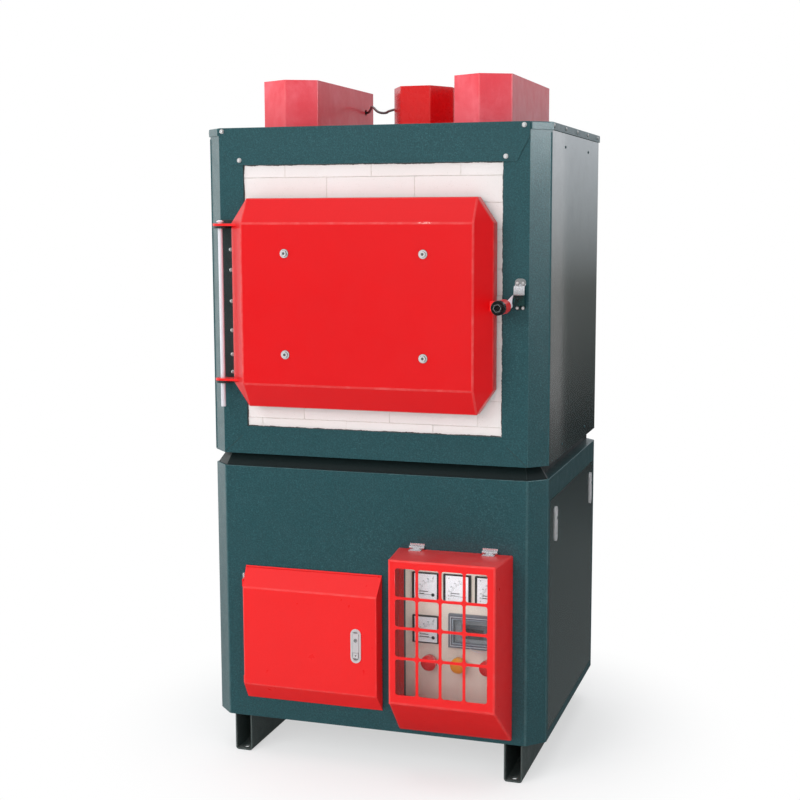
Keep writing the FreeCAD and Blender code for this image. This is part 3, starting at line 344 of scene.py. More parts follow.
# mostly diffuse near-white steel, so the rod shows bright all round: painted sheen for the reflection of bright
# surroundings
MAT["rod_steel"] = metal("rod_steel", (0.93, 0.91, 0.97), 0.42, (1, 1, 0.02), 0.00001, 0.10, metallic=0.35)
MAT["zinc"] = metal("zinc", (0.80, 0.80, 0.79), 0.26, None, 0.00003, 0.25, metallic=0.8)
MAT["hinge_chrome"] = metal("hinge_chrome", (0.92, 0.92, 0.94), 0.20, None, 0.00002, 0.08, metallic=0.75)
MAT["galvanised"] = metal("galvanised", (0.62, 0.64, 0.65), 0.38, None, 0.00003, 0.1, spangle=0.6)
MAT["lock_metal"] = metal("lock_metal", (0.88, 0.87, 0.88), 0.34, (1, 1, 0.05), 0.00002, 0.04, metallic=0.45)
MAT["core_steel"] = metal("core_steel", (0.30, 0.31, 0.33), 0.42, (1, 60, 1), 0.00008, 0.3)
MAT["terminal_alu"] = metal("terminal_alu", (0.70, 0.71, 0.72), 0.35, (1, 1, 0.1), 0.00003, 0.2)
MAT["silicon_carbide"] = plastic("silicon_carbide", (0.075, 0.078, 0.085), 0.75, 500.0, 0.0004, 0.0, 0.35)
MAT["black_plastic"] = plastic("black_plastic", (0.010, 0.010, 0.011), 0.30, 800.0, 0.00004, 0.2, 0.2)
# knob: its edges are strongly lightened, a painted highlight
MAT["knob_black"] = plastic("knob_black", (0.006, 0.006, 0.006), 0.26, 800.0, 0.00003, 0.4, 0.2, scuff_and_highlight=2.0, lift=0.22)
MAT["beige_paint"] = plastic("beige_paint", hx(236, 228, 216), 0.45, 500.0, 0.00005, 0.1, 0.05)
MAT["meter_plastic"] = plastic("meter_plastic", (0.007, 0.007, 0.008), 0.40, 800.0, 0.00004, 0.0, 0.2)
MAT["grey_plastic"] = plastic("grey_plastic", hx(104, 110, 120), 0.42, 700.0, 0.00005, 0.0, 0.06)
MAT["red_button"] = plastic("red_button", (0.72, 0.012, 0.014), 0.18, 300.0, 0.00001, 0.6, 0.06, sub=0.15)
MAT["amber_button"] = plastic("amber_button", (0.86, 0.34, 0.012), 0.18, 300.0, 0.00001, 0.6, 0.06, sub=0.15)
MAT["cable_grey"] = plastic("cable_grey", (0.16, 0.165, 0.17), 0.6, 900.0, 0.0002, 0.0, 0.3)
MAT["green_side"] = MAT["green_gloss"]
MAT["seal"] = brick("seal", (0.10, 0.10, 0.095), (0.055, 0.06, 0.06), 0.1)
MAT["dial_white"] = plastic("dial_white", (0.94, 0.93, 0.97), 0.4, 600.0, 0.00001, 0.0, 0.02)
MAT["dial_ink"] = plastic("dial_ink", (0.012, 0.012, 0.014), 0.45, 600.0, 0.00001, 0.0, 0.1)
MAT["grey_light"] = plastic("grey_light", hx(214, 218, 224), 0.35, 700.0, 0.00003, 0.1, 0.05)
MAT["module_grey"] = plastic("module_grey", hx(176, 178, 178), 0.42, 700.0, 0.00003, 0.0, 0.05)
MAT["lip_white"] = plastic("lip_white", (0.80, 0.82, 0.84), 0.2, 500.0, 0.00001, 0.4, 0.03)
MAT["braid"] = metal("braid", (0.42, 0.42, 0.42), 0.42, None, 0.00003, 0.2)
MAT["copper"] = metal("copper", (0.55, 0.22, 0.09), 0.32, None, 0.00002, 0.15, (0.25, 0.1, 0.04))
MAT["clear_pane"] = pane("clear_pane", (0.99, 0.99, 0.99, 1), 0.008, 0.8)
MAT["smoke_pane"] = pane("smoke_pane", (0.86, 0.88, 0.91, 1), 0.05)


# =============================================================================
# mesh helpers
# =============================================================================
def new_piece(bm_or_mesh, name, body, mats, node=None, sharp=32.0, wn=True):
    if isinstance(bm_or_mesh, bmesh.types.BMesh):
        me = bpy.data.meshes.new(name)
        big = [f for f in bm_or_mesh.faces if len(f.verts) > 4]
        if big:
            bmesh.ops.triangulate(bm_or_mesh, faces=big, quad_method="BEAUTY", ngon_method="BEAUTY")
        bm_or_mesh.normal_update()
        bm_or_mesh.to_mesh(me)
        bm_or_mesh.free()
    else:
        me = bm_or_mesh
    for a in ("custom_normal", "sharp_face", "sharp_edge"):
        if a in me.attributes:
            me.attributes.remove(me.attributes[a])
    mats = list(mats) if isinstance(mats, (list, tuple)) else [mats]
    idx = [min(p.material_index, len(mats) - 1) for p in me.polygons]
    me.materials.clear()
    for m in mats:
        me.materials.append(m)
    me.polygons.foreach_set("material_index", idx)
    me.polygons.foreach_set("use_smooth", [True] * len(me.polygons))
    me.set_sharp_from_angle(angle=R(sharp))
    o = bpy.data.objects.new(name, me)
    SCN.collection.objects.link(o)
    if wn:
        w = o.modifiers.new("normals", "WEIGHTED_NORMAL")
        w.keep_sharp = True
        w.weight = 60
    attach(o, body)
    if node:
        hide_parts(*([node] if isinstance(node, str) else node))
    return o


def bevel(bm, edges, w, seg, lay, profile=0.5):
    if not edges:
        return
    r = bmesh.ops.bevel(bm, geom=edges, offset=w / 1000.0, offset_type="OFFSET", segments=seg, profile=profile,
                        affect="EDGES", clamp_overlap=True, miter_outer="SHARP", miter_inner="SHARP")
    for f in r["faces"]:
        if f.is_valid:
            f[lay] = 1.0


def sharp_edges(bm, ang, pred=None):
    out = []
    for e in bm.edges:
        if len(e.link_faces) != 2:
            continue
        if e.calc_face_angle(0.0) < R(ang):
            continue
        if pred is None:
            out.append(e)
        else:
            a, b = e.verts[0].co, e.verts[1].co
            m = (a + b) / 2
            d = b - a
            if pred(m.x * 1000, m.y * 1000 + D2, m.z * 1000, abs(d.x) * 1000, abs(d.y) * 1000, abs(d.z) * 1000):
                out.append(e)
    return out


def mesh_of(node, dissolve=0.6):
    bm = bmesh.new()
    bm.from_mesh(NODES[node].data)
    bmesh.ops.remove_doubles(bm, verts=bm.verts, dist=1.5e-5)
    bmesh.ops.dissolve_limit(bm, angle_limit=R(dissolve), verts=bm.verts, edges=bm.edges, use_dissolve_boundaries=False)
    return bm


def soft(node, base=(0.5, 2), passes=(), mat=None, ang=30.0, sharp=32.0, edit=None):
    """a finished copy of a CAD node: folds and edges get their real radii, and carry an edge mask for wear and for
    painted highlight lines along the folds
    """
    o = NODES[node]
    bm = mesh_of(node)
    lay = bm.faces.layers.float.new("edge")
    for pred, w, seg in passes:
        bevel(bm, sharp_edges(bm, ang, pred), w, seg, lay)
    if base:
        bevel(bm, sharp_edges(bm, ang), base[0], base[1], lay)
    if edit:
        edit(bm, lay)
    slot = SLOT[node]
    return new_piece(bm, node + "_finished", body_of(o)[0], mat or MAT[slot], node, sharp)


# =============================================================================
# pieces
# =============================================================================
def vert_fold(x, y, z, dx, dy, dz):
    return dz > 20 and dx < 1 and dy < 1


SLOT = {n: NODES[n].material_slots[0].material.name.split(".")[0] for n in NODES}
for n in sorted(NODES):
    for s in NODES[n].material_slots:
        s.material = MAT[SLOT[n]]

soft("base_rails", (0.6, 2), mat=MAT["foot_paint"])
# the rounded top front fold of the lower cabinet gets three times the edge mask: a painted highlight line along it
soft("lower_frame", (0.4, 1), [(lambda x, y, z, a, b, c: c > 300 and (abs(x) > 400) and (y < 60 or y > 675), 3.5, 4),
                               (lambda x, y, z, a, b, c: abs(z - 782.6) < 0.5, 1.8, 3)],
     edit=lambda bm, lay: [f.__setitem__(lay, 3.0) for f in bm.faces if f[lay] > 0 and f.calc_center_median().z > 0.7802 and f.calc_center_median().y < -0.2])
soft("lower_side_left", (0.8, 2))
soft("neck_skirt", (0.5, 2), mat=MAT["neck_paint"])
soft("neck_frame", (0.8, 2), mat=MAT["neck_paint"])
soft("upper_frame", (0.4, 1), [(lambda x, y, z, a, b, c: c > 300 and abs(x) > 400 and y < 60, 3.0, 4),
                               (lambda x, y, z, a, b, c: abs(z - 816.6) < 0.5 and a + b > 20, 1.2, 2)])
soft("top_rail", (0.7, 2))
soft("upper_side_panels", (0.8, 2))
soft("upper_rear_panel", (0.5, 2), [(vert_fold, 3.0, 3)])
soft("lid", (0.5, 2), [(lambda x, y, z, a, b, c: abs(z - 1653) < 0.5 and abs(x) + abs(y - D2) > 300 and (a > 60 or b > 60 or (a > 30 and b > 30)), 3.0, 4)])
for c in ("cover_left", "cover_right", "cover_mid"):
    soft(c, (0.4, 1), [(lambda x, y, z, a, b, c: c > 60, 2.6, 4), (lambda x, y, z, a, b, c: z > 1764 and a + b > 30, 2.2, 4)],
         MAT["red_mid" if c == "cover_mid" else "red_wiped"])
soft("hinge_plate", (0.6, 2))
soft("hinge_rod", (0.8, 2), mat=MAT["rod_steel"])
soft("instrument_panel", (0.4, 1))
soft("door_pan", (0.4, 1), [(lambda x, y, z, a, b, c: y < -39 and a + b + c > 20, 3.2, 4)], MAT["red_door"])
soft("door_back_plate", (0.4, 1))
soft("door_lugs", (1.0, 3))
soft("latch_boss", (1.2, 3))
soft("service_door", (0.4, 1), [(lambda x, y, z, a, b, c: y < -20 and (a > 100 or c > 100), 3.0, 4), (lambda x, y, z, a, b, c: -36 < y < -5 and b > 20, 2.5, 3)])
soft("grille_door", (0.5, 2), [(lambda x, y, z, a, b, c: (a > 200 or c > 250) and y < -127, 5.0, 5), (lambda x, y, z, a, b, c: b > 60, 4.5, 4)])
soft("side_panel_right", (0.7, 2))
soft("grille_pane", (0.4, 1)).visible_shadow = False

# ---------------------------------------------------------------- mesh makers
def lathe(profile, n=28):
    """closed surface of revolution about +z, from (radius, height) points in millimetres"""
    bm = bmesh.new()
    rings = []
    for r, z in profile:
        if r < 1e-6:
            rings.append([bm.verts.new((0, 0, z / 1000.0))])
        else:
            rings.append([bm.verts.new((r * math.cos(2 * math.pi * i / n) / 1000.0, r * math.sin(2 * math.pi * i / n) / 1000.0, z / 1000.0)) for i in range(n)])
    for A, B in zip(rings, rings[1:]):
        for i in range(n):
            j = (i + 1) % n
            if len(A) == 1:
                bm.faces.new((A[0], B[j], B[i]))
            elif len(B) == 1:
                bm.faces.new((A[i], A[j], B[0]))
            else:
                bm.faces.new((A[i], A[j], B[j], B[i]))
    bmesh.ops.recalc_face_normals(bm, faces=bm.faces)
    return bm


def to_mesh(bm, name="m"):
    me = bpy.data.meshes.new(name)
    bm.to_mesh(me)
    bm.free()
    return me


def bm_box(x0, x1, y0, y1, z0, z1, bm=None):
    """a box in plain millimetres (no drawing shift)"""
    own = bm is None
    bm = bm or bmesh.new()
    v = [bm.verts.new((x / 1000.0, y / 1000.0, z / 1000.0)) for z in (z0, z1) for y in (y0, y1) for x in (x0, x1)]
    for f in ((0, 2, 3, 1), (4, 5, 7, 6), (0, 1, 5, 4), (2, 6, 7, 3), (0, 4, 6, 2), (1, 3, 7, 5)):
        bm.faces.new([v[i] for i in f])
    return bm


def boolean(me, cutters, op="DIFFERENCE"):
    o = bpy.data.objects.new("tmp", me)
    SCN.collection.objects.link(o)
    cs = []
    for c in cutters:
        co = bpy.data.objects.new("tmpc", c)
        SCN.collection.objects.link(co)
        cs.append(co)
        b = o.modifiers.new("b", "BOOLEAN")
        b.operation, b.solver, b.object = op, "EXACT", co
    bpy.context.view_layer.update()
    dg = bpy.context.evaluated_depsgraph_get()
    res = bpy.data.meshes.new_from_object(o.evaluated_get(dg))
    for c in cs:
        bpy.data.objects.remove(c)
    bpy.data.objects.remove(o)
    return res


def put(bm, me, mat4, mi=0, tone=None):
    nv, nf = len(bm.verts), len(bm.faces)
    bm.from_mesh(me)
    bm.verts.ensure_lookup_table()
    bm.faces.ensure_lookup_table()
    bmesh.ops.transform(bm, matrix=mat4, verts=bm.verts[nv:])
    for f in bm.faces[nf:]:
        f.material_index = mi


def at(x, y, z, d, roll=0.0, s=1.0):
    q = Vector(d).normalized().to_track_quat("Z", "Y")
    return Matrix.Translation(P(x, y, z)) @ q.to_matrix().to_4x4() @ Matrix.Rotation(R(roll), 4, "Z") @ Matrix.Scale(s, 4)


RND = random.Random(41)


def islands(bm):
    seen, out = set(), []
    for f in bm.faces:
        if f.index in seen:
            continue
        todo, grp = [f], []
        seen.add(f.index)
        while todo:
            q = todo.pop()
            grp.append(q)
            for e in q.edges:
                for w in e.link_faces:
                    if w.index not in seen:
                        seen.add(w.index)
                        todo.append(w)
        out.append(grp)
    return out


def limits(faces):
    vs = [v.co for f in faces for v in f.verts]
    return [min(v[i] for v in vs) for i in range(3)], [max(v[i] for v in vs) for i in range(3)]


def grid_box(bm, lo, hi, step, r, amp, inward=0.0, seed=0.0, tone=0.5, chip=0.0):
    """a cast block: rounded and slightly chipped arrises, gently uneven faces (metres)"""
    lay = bm.faces.layers.float["edge"]
    ton = bm.faces.layers.float["tone"]
    ax = []
    for i in range(3):
        L = hi[i] - lo[i]
        e = [0.0, 0.35 * r, r]
        if chip:
            e.append(2.6 * r)
        n = max(1, int(round((L - 2 * e[-1]) / step)))
        mid = [e[-1] + (L - 2 * e[-1]) * k / n for k in range(1, n)]
        ax.append([lo[i] + t for t in e + mid] + [hi[i] - t for t in reversed(e)])
    cache = {}

    def vert(p):
        k = tuple(round(c, 7) for c in p)
        if k not in cache:
            q = Vector(p)
            rr = r
            if chip:
                c = noise.noise(q * 55.0 + Vector((seed, 0, 0)))
                rr = r * (1.0 + chip * max(0.0, c - 0.12) * 4.0)
            inner = Vector([min(max(q[i], lo[i] + rr), hi[i] - rr) for i in range(3)])
            d = q - inner
            if d.length > 1e-9:
                q2 = inner + d.normalized() * rr
                h = noise.noise(Vector(p) * 38.0 + Vector((0, seed, 0))) * amp - inward
                q = q2 + d.normalized() * h
            cache[k] = bm.verts.new(q)
        return cache[k]
    for a in range(3):
        b, c = (a + 1) % 3, (a + 2) % 3
        for side in (0, 1):
            for i in range(len(ax[b]) - 1):
                for j in range(len(ax[c]) - 1):
                    quad = []
                    for s, t in ((0, 0), (1, 0), (1, 1), (0, 1)):
                        p = [0, 0, 0]
                        p[a] = ax[a][-1] if side else ax[a][0]
                        p[b], p[c] = ax[b][i + s], ax[c][j + t]
                        quad.append(vert(p))
                    if side == 0:
                        quad.reverse()
                    if len(set(quad)) == 4:
                        f = bm.faces.new(quad)
                        near = i < 2 or j < 2 or i > len(ax[b]) - 4 or j > len(ax[c]) - 4
                        f[lay] = 1.0 if near else 0.0
                        f[ton] = tone


def plain_blocks(node, w=0.9):
    bm = mesh_of(node)
    lay = bm.faces.layers.float.new("edge")
    ton = bm.faces.layers.float.new("tone")
    for k, grp in enumerate(islands(bm)):
        t = RND.random()
        for f in grp:
            f[ton] = t
    bevel(bm, sharp_edges(bm, 30), w, 2, lay)
    return new_piece(bm, node + "_finished", "cabinet", MAT["firebrick"], node)


# ---------------------------------------------------------------- brickwork
src = mesh_of("front_bricks")
bm = bmesh.new()
bm.faces.layers.float.new("edge")
bm.faces.layers.float.new("tone")
mort = bmesh.new()
for k, grp in enumerate(islands(src)):
    lo, hi = limits(grp)
    grid_box(bm, lo, hi, 0.014, 0.0008, 0.00026, 0.00012, k * 3.7, RND.random(), 0.9)
    y0 = lo[1] * 1000 + 0.30
    bm_box(lo[0] * 1000 - 0.4, hi[0] * 1000 + 0.4, y0, y0 + 24, hi[2] * 1000 + 0.04, hi[2] * 1000 + 0.72, mort)
    bm_box(hi[0] * 1000 + 0.04, hi[0] * 1000 + 0.74, y0, y0 + 24, lo[2] * 1000 + 0.1, hi[2] * 1000 - 0.1, mort)
src.free()
new_piece(bm, "face_bricks", "cabinet", MAT["firebrick"], "front_bricks", 50)
new_piece(mort, "face_brick_mortar", "cabinet", MAT["mortar"])
for n in ("chamber_bricks", "roof_bricks", "hearth_bricks"):
    plain_blocks(n)

# dark ragged strip on the brick face along the edges of the casing window
bm = bmesh.new()
bm.faces.layers.float.new("edge")
WX, WZ0, WZ1 = 340.0, 889.0, 1559.0


def ragged(axis, fixed, a0, a1, sgn):
    n = int((a1 - a0) / 4.0)
    rows = []
    for i in range(n + 1):
        t = a0 + (a1 - a0) * i / n
        w = 1.9 + 1.9 * noise.noise(Vector((t * 0.045, fixed * 0.7, 1.3))) + 1.3 * noise.noise(Vector((t * 0.19, fixed, 5.1)))
        w = max(0.5, w)
        pr = []
        for off, y in ((-2.5, 4.75), (w, 4.75), (w, 3.4), (-2.5, 3.4)):
            u = fixed + sgn * off
            pr.append(bm.verts.new(P(u, y, t) if axis == "x" else P(t, y, u)))
        rows.append(pr)
    for A, B in zip(rows, rows[1:]):
        for k in range(4):
            bm.faces.new((A[k], A[(k + 1) % 4], B[(k + 1) % 4], B[k]))
    bm.faces.new(rows[0])
    bm.faces.new(list(reversed(rows[-1])))


ragged("x", -WX, WZ0, WZ1, 1)
ragged("x", WX, WZ0, WZ1, -1)
ragged("z", WZ0, -WX + 3, WX - 3, 1)
ragged("z", WZ1, -WX + 3, WX - 3, -1)
bmesh.ops.recalc_face_normals(bm, faces=bm.faces)
new_piece(bm, "window_seal", "cabinet", MAT["seal"])

# door lining: pressed fibre block
bm = bmesh.new()
bm.faces.layers.float.new("edge")
bm.faces.layers.float.new("tone")
lo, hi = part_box("door_lining")
grid_box(bm, list(lo), list(hi), 0.011, 0.004, 0.0005, 0.0006, 9.1, 0.3, 0.5)
new_piece(bm, "door_lining_block", "door", MAT["fibre"], "door_lining", 50)

# ---------------------------------------------------------------- fasteners
cap = lathe([(0, 0), (5.0, 0), (5.0, 0.5), (4.75, 1.1), (3.9, 1.9), (2.4, 2.45), (0, 2.6)])
capm = to_mesh(cap, "pan")
slot_cut = to_mesh(bm_box(-6, 6, -0.55, 0.55, 1.3, 4))
SLOTTED = boolean(capm.copy(), [slot_cut])
cx1 = to_mesh(bm_box(-2.9, 2.9, -0.5, 0.5, 0.9, 4))
cx2 = to_mesh(bm_box(-0.5, 0.5, -2.9, 2.9, 0.9, 4))
CROSS = boolean(capm.copy(), [cx1, cx2])


def hexbolt(rw=9.0, tw=1.5, rh=6.5, hh=5.0):
    bm = lathe([(0, 0), (rw, 0), (rw, tw * 0.6), (rw - 0.5, tw), (rh * 0.6, tw), (0, tw)], 32)
    nv = len(bm.verts)
    lay = bm.faces.layers.float.new("edge")
    z0, z1 = tw + 0.02, tw + hh
    prof = [(0.93, z0), (1.0, z0 + 0.35), (1.0, z1 - 0.9), (0.90, z1 - 0.12), (0.84, z1)]
    rings = []
    for s, z in prof:
        ring = []
        for i in range(48):
            a = 2 * math.pi * i / 48
            k = (a + math.pi / 6) % (math.pi / 3) - math.pi / 6
            flat = rh * math.cos(math.pi / 6) / math.cos(k)
            r = flat if s > 0.95 else min(flat, rh * s)
            ring.append(bm.verts.new((r * math.cos(a) / 1000, r * math.sin(a) / 1000, z / 1000)))
        rings.append(ring)
    for A, B in zip(rings, rings[1:]):
        for i in range(48):
            bm.faces.new((A[i], A[(i + 1) % 48], B[(i + 1) % 48], B[i]))
    bm.faces.new(list(reversed(rings[0])))
    top = [bm.verts.new((v.co.x * 0.62, v.co.y * 0.62, v.co.z + 0.00012)) for v in rings[-1]]
    dish = [bm.verts.new((v.co.x * 0.50, v.co.y * 0.50, v.co.z - 0.0003)) for v in rings[-1]]
    for i in range(48):
        j = (i + 1) % 48
        bm.faces.new((rings[-1][i], rings[-1][j], top[j], top[i]))
        bm.faces.new((top[i], top[j], dish[j], dish[i]))
    bm.faces.new(dish)
    bmesh.ops.recalc_face_normals(bm, faces=bm.faces)
    return to_mesh(bm, "hex")


HEX = hexbolt()
HEXD = hexbolt(11.5, 2.0, 8.2, 4.5)
bm = bmesh.new()
H, D = 900.0, 735.0
for x, z in ((-395.9, 1644.5), (391.3, 1644.5), (-348.5, 1571.2), (346.5, 1571.2)):
    put(bm, HEX, at(x, -3.05, z, (0, -1, 0), RND.uniform(0, 60), 0.69), 2)
for y in (49.0, 196.5, 348.0, 500.5, 653.0):
    for s in (-1, 1):
        put(bm, CROSS, at(s * 453.25, y, 1644, (s, 0, 0), RND.uniform(0, 90)))
for x in (-320.0, -107.0, 107.0, 320.0):
    put(bm, CROSS, at(x, D + 3.25, 1644, (0, 1, 0), RND.uniform(0, 90)))
    for z in (860.0, 1220.0, 1580.0):
        put(bm, CROSS, at(x, D + 0.05, z, (0, 1, 0), RND.uniform(0, 90)))
for x in (-375.0, 0.0, 375.0):
    for z in (148.0, 737.0):
        put(bm, CROSS, at(x, D + 2.05, z, (0, 1, 0), RND.uniform(0, 90)))
for y in (90.0, 368.0, 646.0):
    for z in (128.0, 722.0):
        put(bm, CROSS, at(-452.05, y, z, (-1, 0, 0), RND.uniform(0, 90)))
for s in (-1, 1):
    for y in (208.6, 527.0):
        for z in (845.6, 1600.0):
            put(bm, CROSS, at(s * 450.05, y, z, (s, 0, 0), RND.uniform(0, 90), 0.72), 1)
for z, xs in ((1268.5, (377.5, 391.5)), (1208.3, (377.5, 391.5))):
    for x in xs:
        put(bm, SLOTTED, at(x, -3.1, z, (0, -1, 0), RND.uniform(20, 70), 0.9), 2)
for z in (1345.7, 1293.7, 1213.5, 1138.0, 1075.7, 1029.9):
    put(bm, SLOTTED, at(-376.0, -4.05, z, (0, -1, 0), RND.uniform(0, 180), 1.05))
bm.normal_update()
# flanks of the hex heads take the dark steel: painted shade
for f in bm.faces:
    if f.material_index == 2 and abs(f.normal.y) < 0.8:
        f.material_index = 3
new_piece(bm, "casing_fasteners", "cabinet", [MAT["zinc"], MAT["green_hammer"], MAT["bolt_bright"], MAT["bolt_dim"]], "casing_screws", 40)
bm = bmesh.new()
for x, z in ((-197.5, 1338.5), (162.0, 1338.5), (-198.0, 1086.5), (162.0, 1086.5)):
    put(bm, HEXD, at(x, -79.55, z, (0, -1, 0), RND.uniform(0, 60)))
bm.normal_update()
# flanks and the centre dish of the door bolt heads take the dark steel: painted shade
for f in bm.faces:
    c = f.calc_center_median() * 1000.0
    near = min(math.hypot(c.x - x, c.z - z) for x, z in ((-197.5, 1338.5), (162.0, 1338.5), (-198.0, 1086.5), (162.0, 1086.5)))
    f.material_index = 1 if abs(f.normal.y) < 0.75 or (near < 3.6 and f.normal.y < -0.9) else 0
new_piece(bm, "door_face_bolts", "door", [MAT["bolt_bright"], MAT["bolt_dim"]], "door_bolts", 40)

# ---------------------------------------------------------------- latch and hinge details
soft("latch_knob", (0.45, 2), mat=MAT["knob_black"])
soft("latch_spindle", (0.4, 2), mat=MAT["rod_steel"])
soft("small_hinges", (0.35, 2), mat=MAT["hinge_chrome"])
soft("grille_hinge_leaves", (0.3, 2), mat=MAT["hinge_chrome"])
bm = lathe([(0, 0), (6.2, 0), (6.2, 0.5), (5.4, 1.2), (3.2, 1.2), (3.0, 0.6), (0, 0.6)], 32)
new_piece(bm.copy(), "latch_knob_insert", "latch", MAT["knob_black"])
bpy.data.objects["latch_knob_insert"].data.transform(at(358.0, -123.7, 1215.0, (0, -1, 0)))
bm.free()
# rim of the hexagon socket in the end of the knob, in light grey metal: a painted highlight
bm = bmesh.new()
lay = bm.faces.layers.float.new("edge")
loops = []
for rr, h in ((10.1, 0.0), (10.1, 0.5), (9.0, 0.5), (9.0, 0.0)):
    loops.append([bm.verts.new((rr * math.cos(R(60 * i + 12)) / 1000, rr * math.sin(R(60 * i + 12)) / 1000, h / 1000)) for i in range(6)])
for A, B in zip(loops, loops[1:] + loops[:1]):
    for i in range(6):
        bm.faces.new((A[i], A[(i + 1) % 6], B[(i + 1) % 6], B[i]))
bmesh.ops.recalc_face_normals(bm, faces=bm.faces)
bevel(bm, sharp_edges(bm, 50), 0.12, 2, lay)
bm.transform(at(358.0, -129.4, 1215.0, (0, -1, 0)))
new_piece(bm, "latch_knob_socket_rim", "latch", MAT["keeper_lobe"])

KX0, KX1, KZ0, KZ1 = 371.0, 398.0, 1203.0, 1279.5
bm = bmesh.new()
bm.faces.layers.float.new("edge")


def step(t):
    t = min(1.0, max(0.0, t))
    return t * t * (3 - 2 * t)


rows = []
NZ, NX = 64, 14
for i in range(NZ + 1):
    z = KZ0 + 0.15 + (KZ1 - KZ0 - 0.3) * i / NZ
    up = step((z - 1211.4) / 3.2) * step((1264.4 - z) / 3.2)
    tt = min(1.0, max(0.0, (z - 1213.0) / (1263.0 - 1213.0)))
    y = -3.0 - 11.6 * up - 3.4 * math.sin(math.pi * tt ** 1.25)
    half = 13.5
    if z > KZ1 - 10:
        half = 3.5 + math.sqrt(max(0.0, 100 - (z - KZ1 + 10) ** 2))
    if z < KZ0 + 7:
        half = 6.5 + math.sqrt(max(0.0, 49 - (KZ0 + 7 - z) ** 2))
    cx_ = (KX0 + KX1) / 2
    sect = []
    for k in range(NX + 1):
        u = -1 + 2 * k / NX
        rim = 0.55 * max(0.0, abs(u) - 0.86) / 0.14
        sect.append(bm.verts.new(P(cx_ + (half - 0.1) * u, y + rim * rim, z)))
    for k in range(NX, -1, -1):
        u = -1 + 2 * k / NX
        sect.append(bm.verts.new(P(cx_ + (half - 0.1) * u, y + 2.6, z)))
    rows.append(sect)
n_ = len(rows[0])
for A, B in zip(rows, rows[1:]):
    for k in range(n_):
        bm.faces.new((A[k], A[(k + 1) % n_], B[(k + 1) % n_], B[k]))
for r_, flip in ((rows[0], True), (rows[-1], False)):
    for k in range(NX):
        q = (r_[k], r_[k + 1], r_[n_ - 2 - k], r_[n_ - 1 - k])
        bm.faces.new(tuple(reversed(q)) if not flip else q)
bmesh.ops.recalc_face_normals(bm, faces=bm.faces)
# bands by height: dark green below, bright in the middle, grey at the top lobe: painted reflections on the chrome strap
for f in bm.faces:
    z = f.calc_center_median().z * 1000.0
    f.material_index = 1 if z < 1240.5 else 2 if z > 1266.5 else 0
new_piece(bm, "latch_keeper_strap", "cabinet", [MAT["keeper_chrome"], MAT["keeper_dull"], MAT["keeper_lobe"]], "latch_keeper", 50)
# dark strips along the mitres below the window corners: painted shade for the mitre grooves
for sx_, q in ((-353.6, -405.5), (353.6, 405.5)):
    bm = bmesh.new()
    a_, b_ = Vector((sx_, 864.2)), Vector((q, 816.9))
    n2 = (b_ - a_).normalized()
    n2 = Vector((-n2.y, n2.x)) * 0.55
    vs = []
    for y in (-0.22, 0.2):
        for c in (a_ + n2, b_ + n2, b_ - n2, a_ - n2):
            vs.append(bm.verts.new(P(c.x, y, c.y)))
    for f in ((0, 1, 2, 3), (7, 6, 5, 4), (0, 4, 5, 1), (1, 5, 6, 2), (2, 6, 7, 3), (3, 7, 4, 0)):
        bm.faces.new([vs[i] for i in f])
    bmesh.ops.recalc_face_normals(bm, faces=bm.faces)
    new_piece(bm, "window_corner_weld_%s" % ("left" if sx_ < 0 else "right"), "cabinet", MAT["dark_paint"])

# ---------------------------------------------------------------- locks
for n in ("service_lock", "service_handle", "service_lock_button", "side_locks", "side_handle_front", "side_handle_rear", "side_button_front", "side_button_rear"):
    soft(n, (0.35, 2), mat=MAT["lock_metal"])
ring = to_mesh(lathe([(2.6, 0), (5.2, 0), (5.2, 0.35), (4.9, 0.7), (3.0, 0.7), (2.6, 0.4), (2.6, 0)], 32), "ring")
core = to_mesh(lathe([(0, 0), (2.5, 0), (2.5, 0.35), (2.2, 0.5), (0, 0.5)], 28), "core")
core = boolean(core, [to_mesh(bm_box(-0.45, 0.45, -1.7, 1.7, 0.1, 2))])
tri = bmesh.new()
tv = [tri.verts.new((math.cos(a) * 0.0026, math.sin(a) * 0.0026, z)) for z in (0, 0.0004) for a in (R(-90), R(30), R(150))]
for f in ((0, 2, 1), (3, 4, 5), (0, 1, 4, 3), (1, 2, 5, 4), (2, 0, 3, 5)):
    tri.faces.new([tv[i] for i in f])
tri = to_mesh(tri, "mark")


def lock_trim(tag, hb, bb, x, y, z, d):
    bm = bmesh.new()
    off = Vector(d) * 3.4
    put(bm, ring, at(x + off.x, y + off.y, z + 15, d))
    put(bm, core, at(x + off.x, y + off.y, z + 15, d, 12.0))
    new_piece(bm, tag + "_key_ring", hb, MAT["chrome"])
    bm = bmesh.new()
    put(bm, tri, at(x + off.x, y + off.y, z - 25, d))
    new_piece(bm, tag + "_button_mark", bb, MAT["black_plastic"])


lock_trim("service", "service_handle", "service_button", -31.0, -38.0, 336.5, (0, -1, 0))
lock_trim("side_front", "side_handle_front", "side_button_front", 450.0, 137.0, 651.0, (1, 0, 0))
lock_trim("side_rear", "side_handle_rear", "side_button_rear", 450.0, 633.0, 651.0, (1, 0, 0))

# ---------------------------------------------------------------- panel meters
soft("panel_meters", (1.2, 3), mat=MAT["meter_plastic"])


def text_mesh(txt, size):
    c = bpy.data.curves.new("t", "FONT")
    c.body, c.size, c.extrude = txt, size / 1000.0, 0.00006
    c.align_x, c.align_y = "CENTER", "CENTER"
    c.resolution_u = 3
    o = bpy.data.objects.new("t", c)
    SCN.collection.objects.link(o)
    bpy.context.view_layer.update()
    me = bpy.data.meshes.new_from_object(o.evaluated_get(bpy.context.evaluated_depsgraph_get()))
    bpy.data.objects.remove(o)
    return me


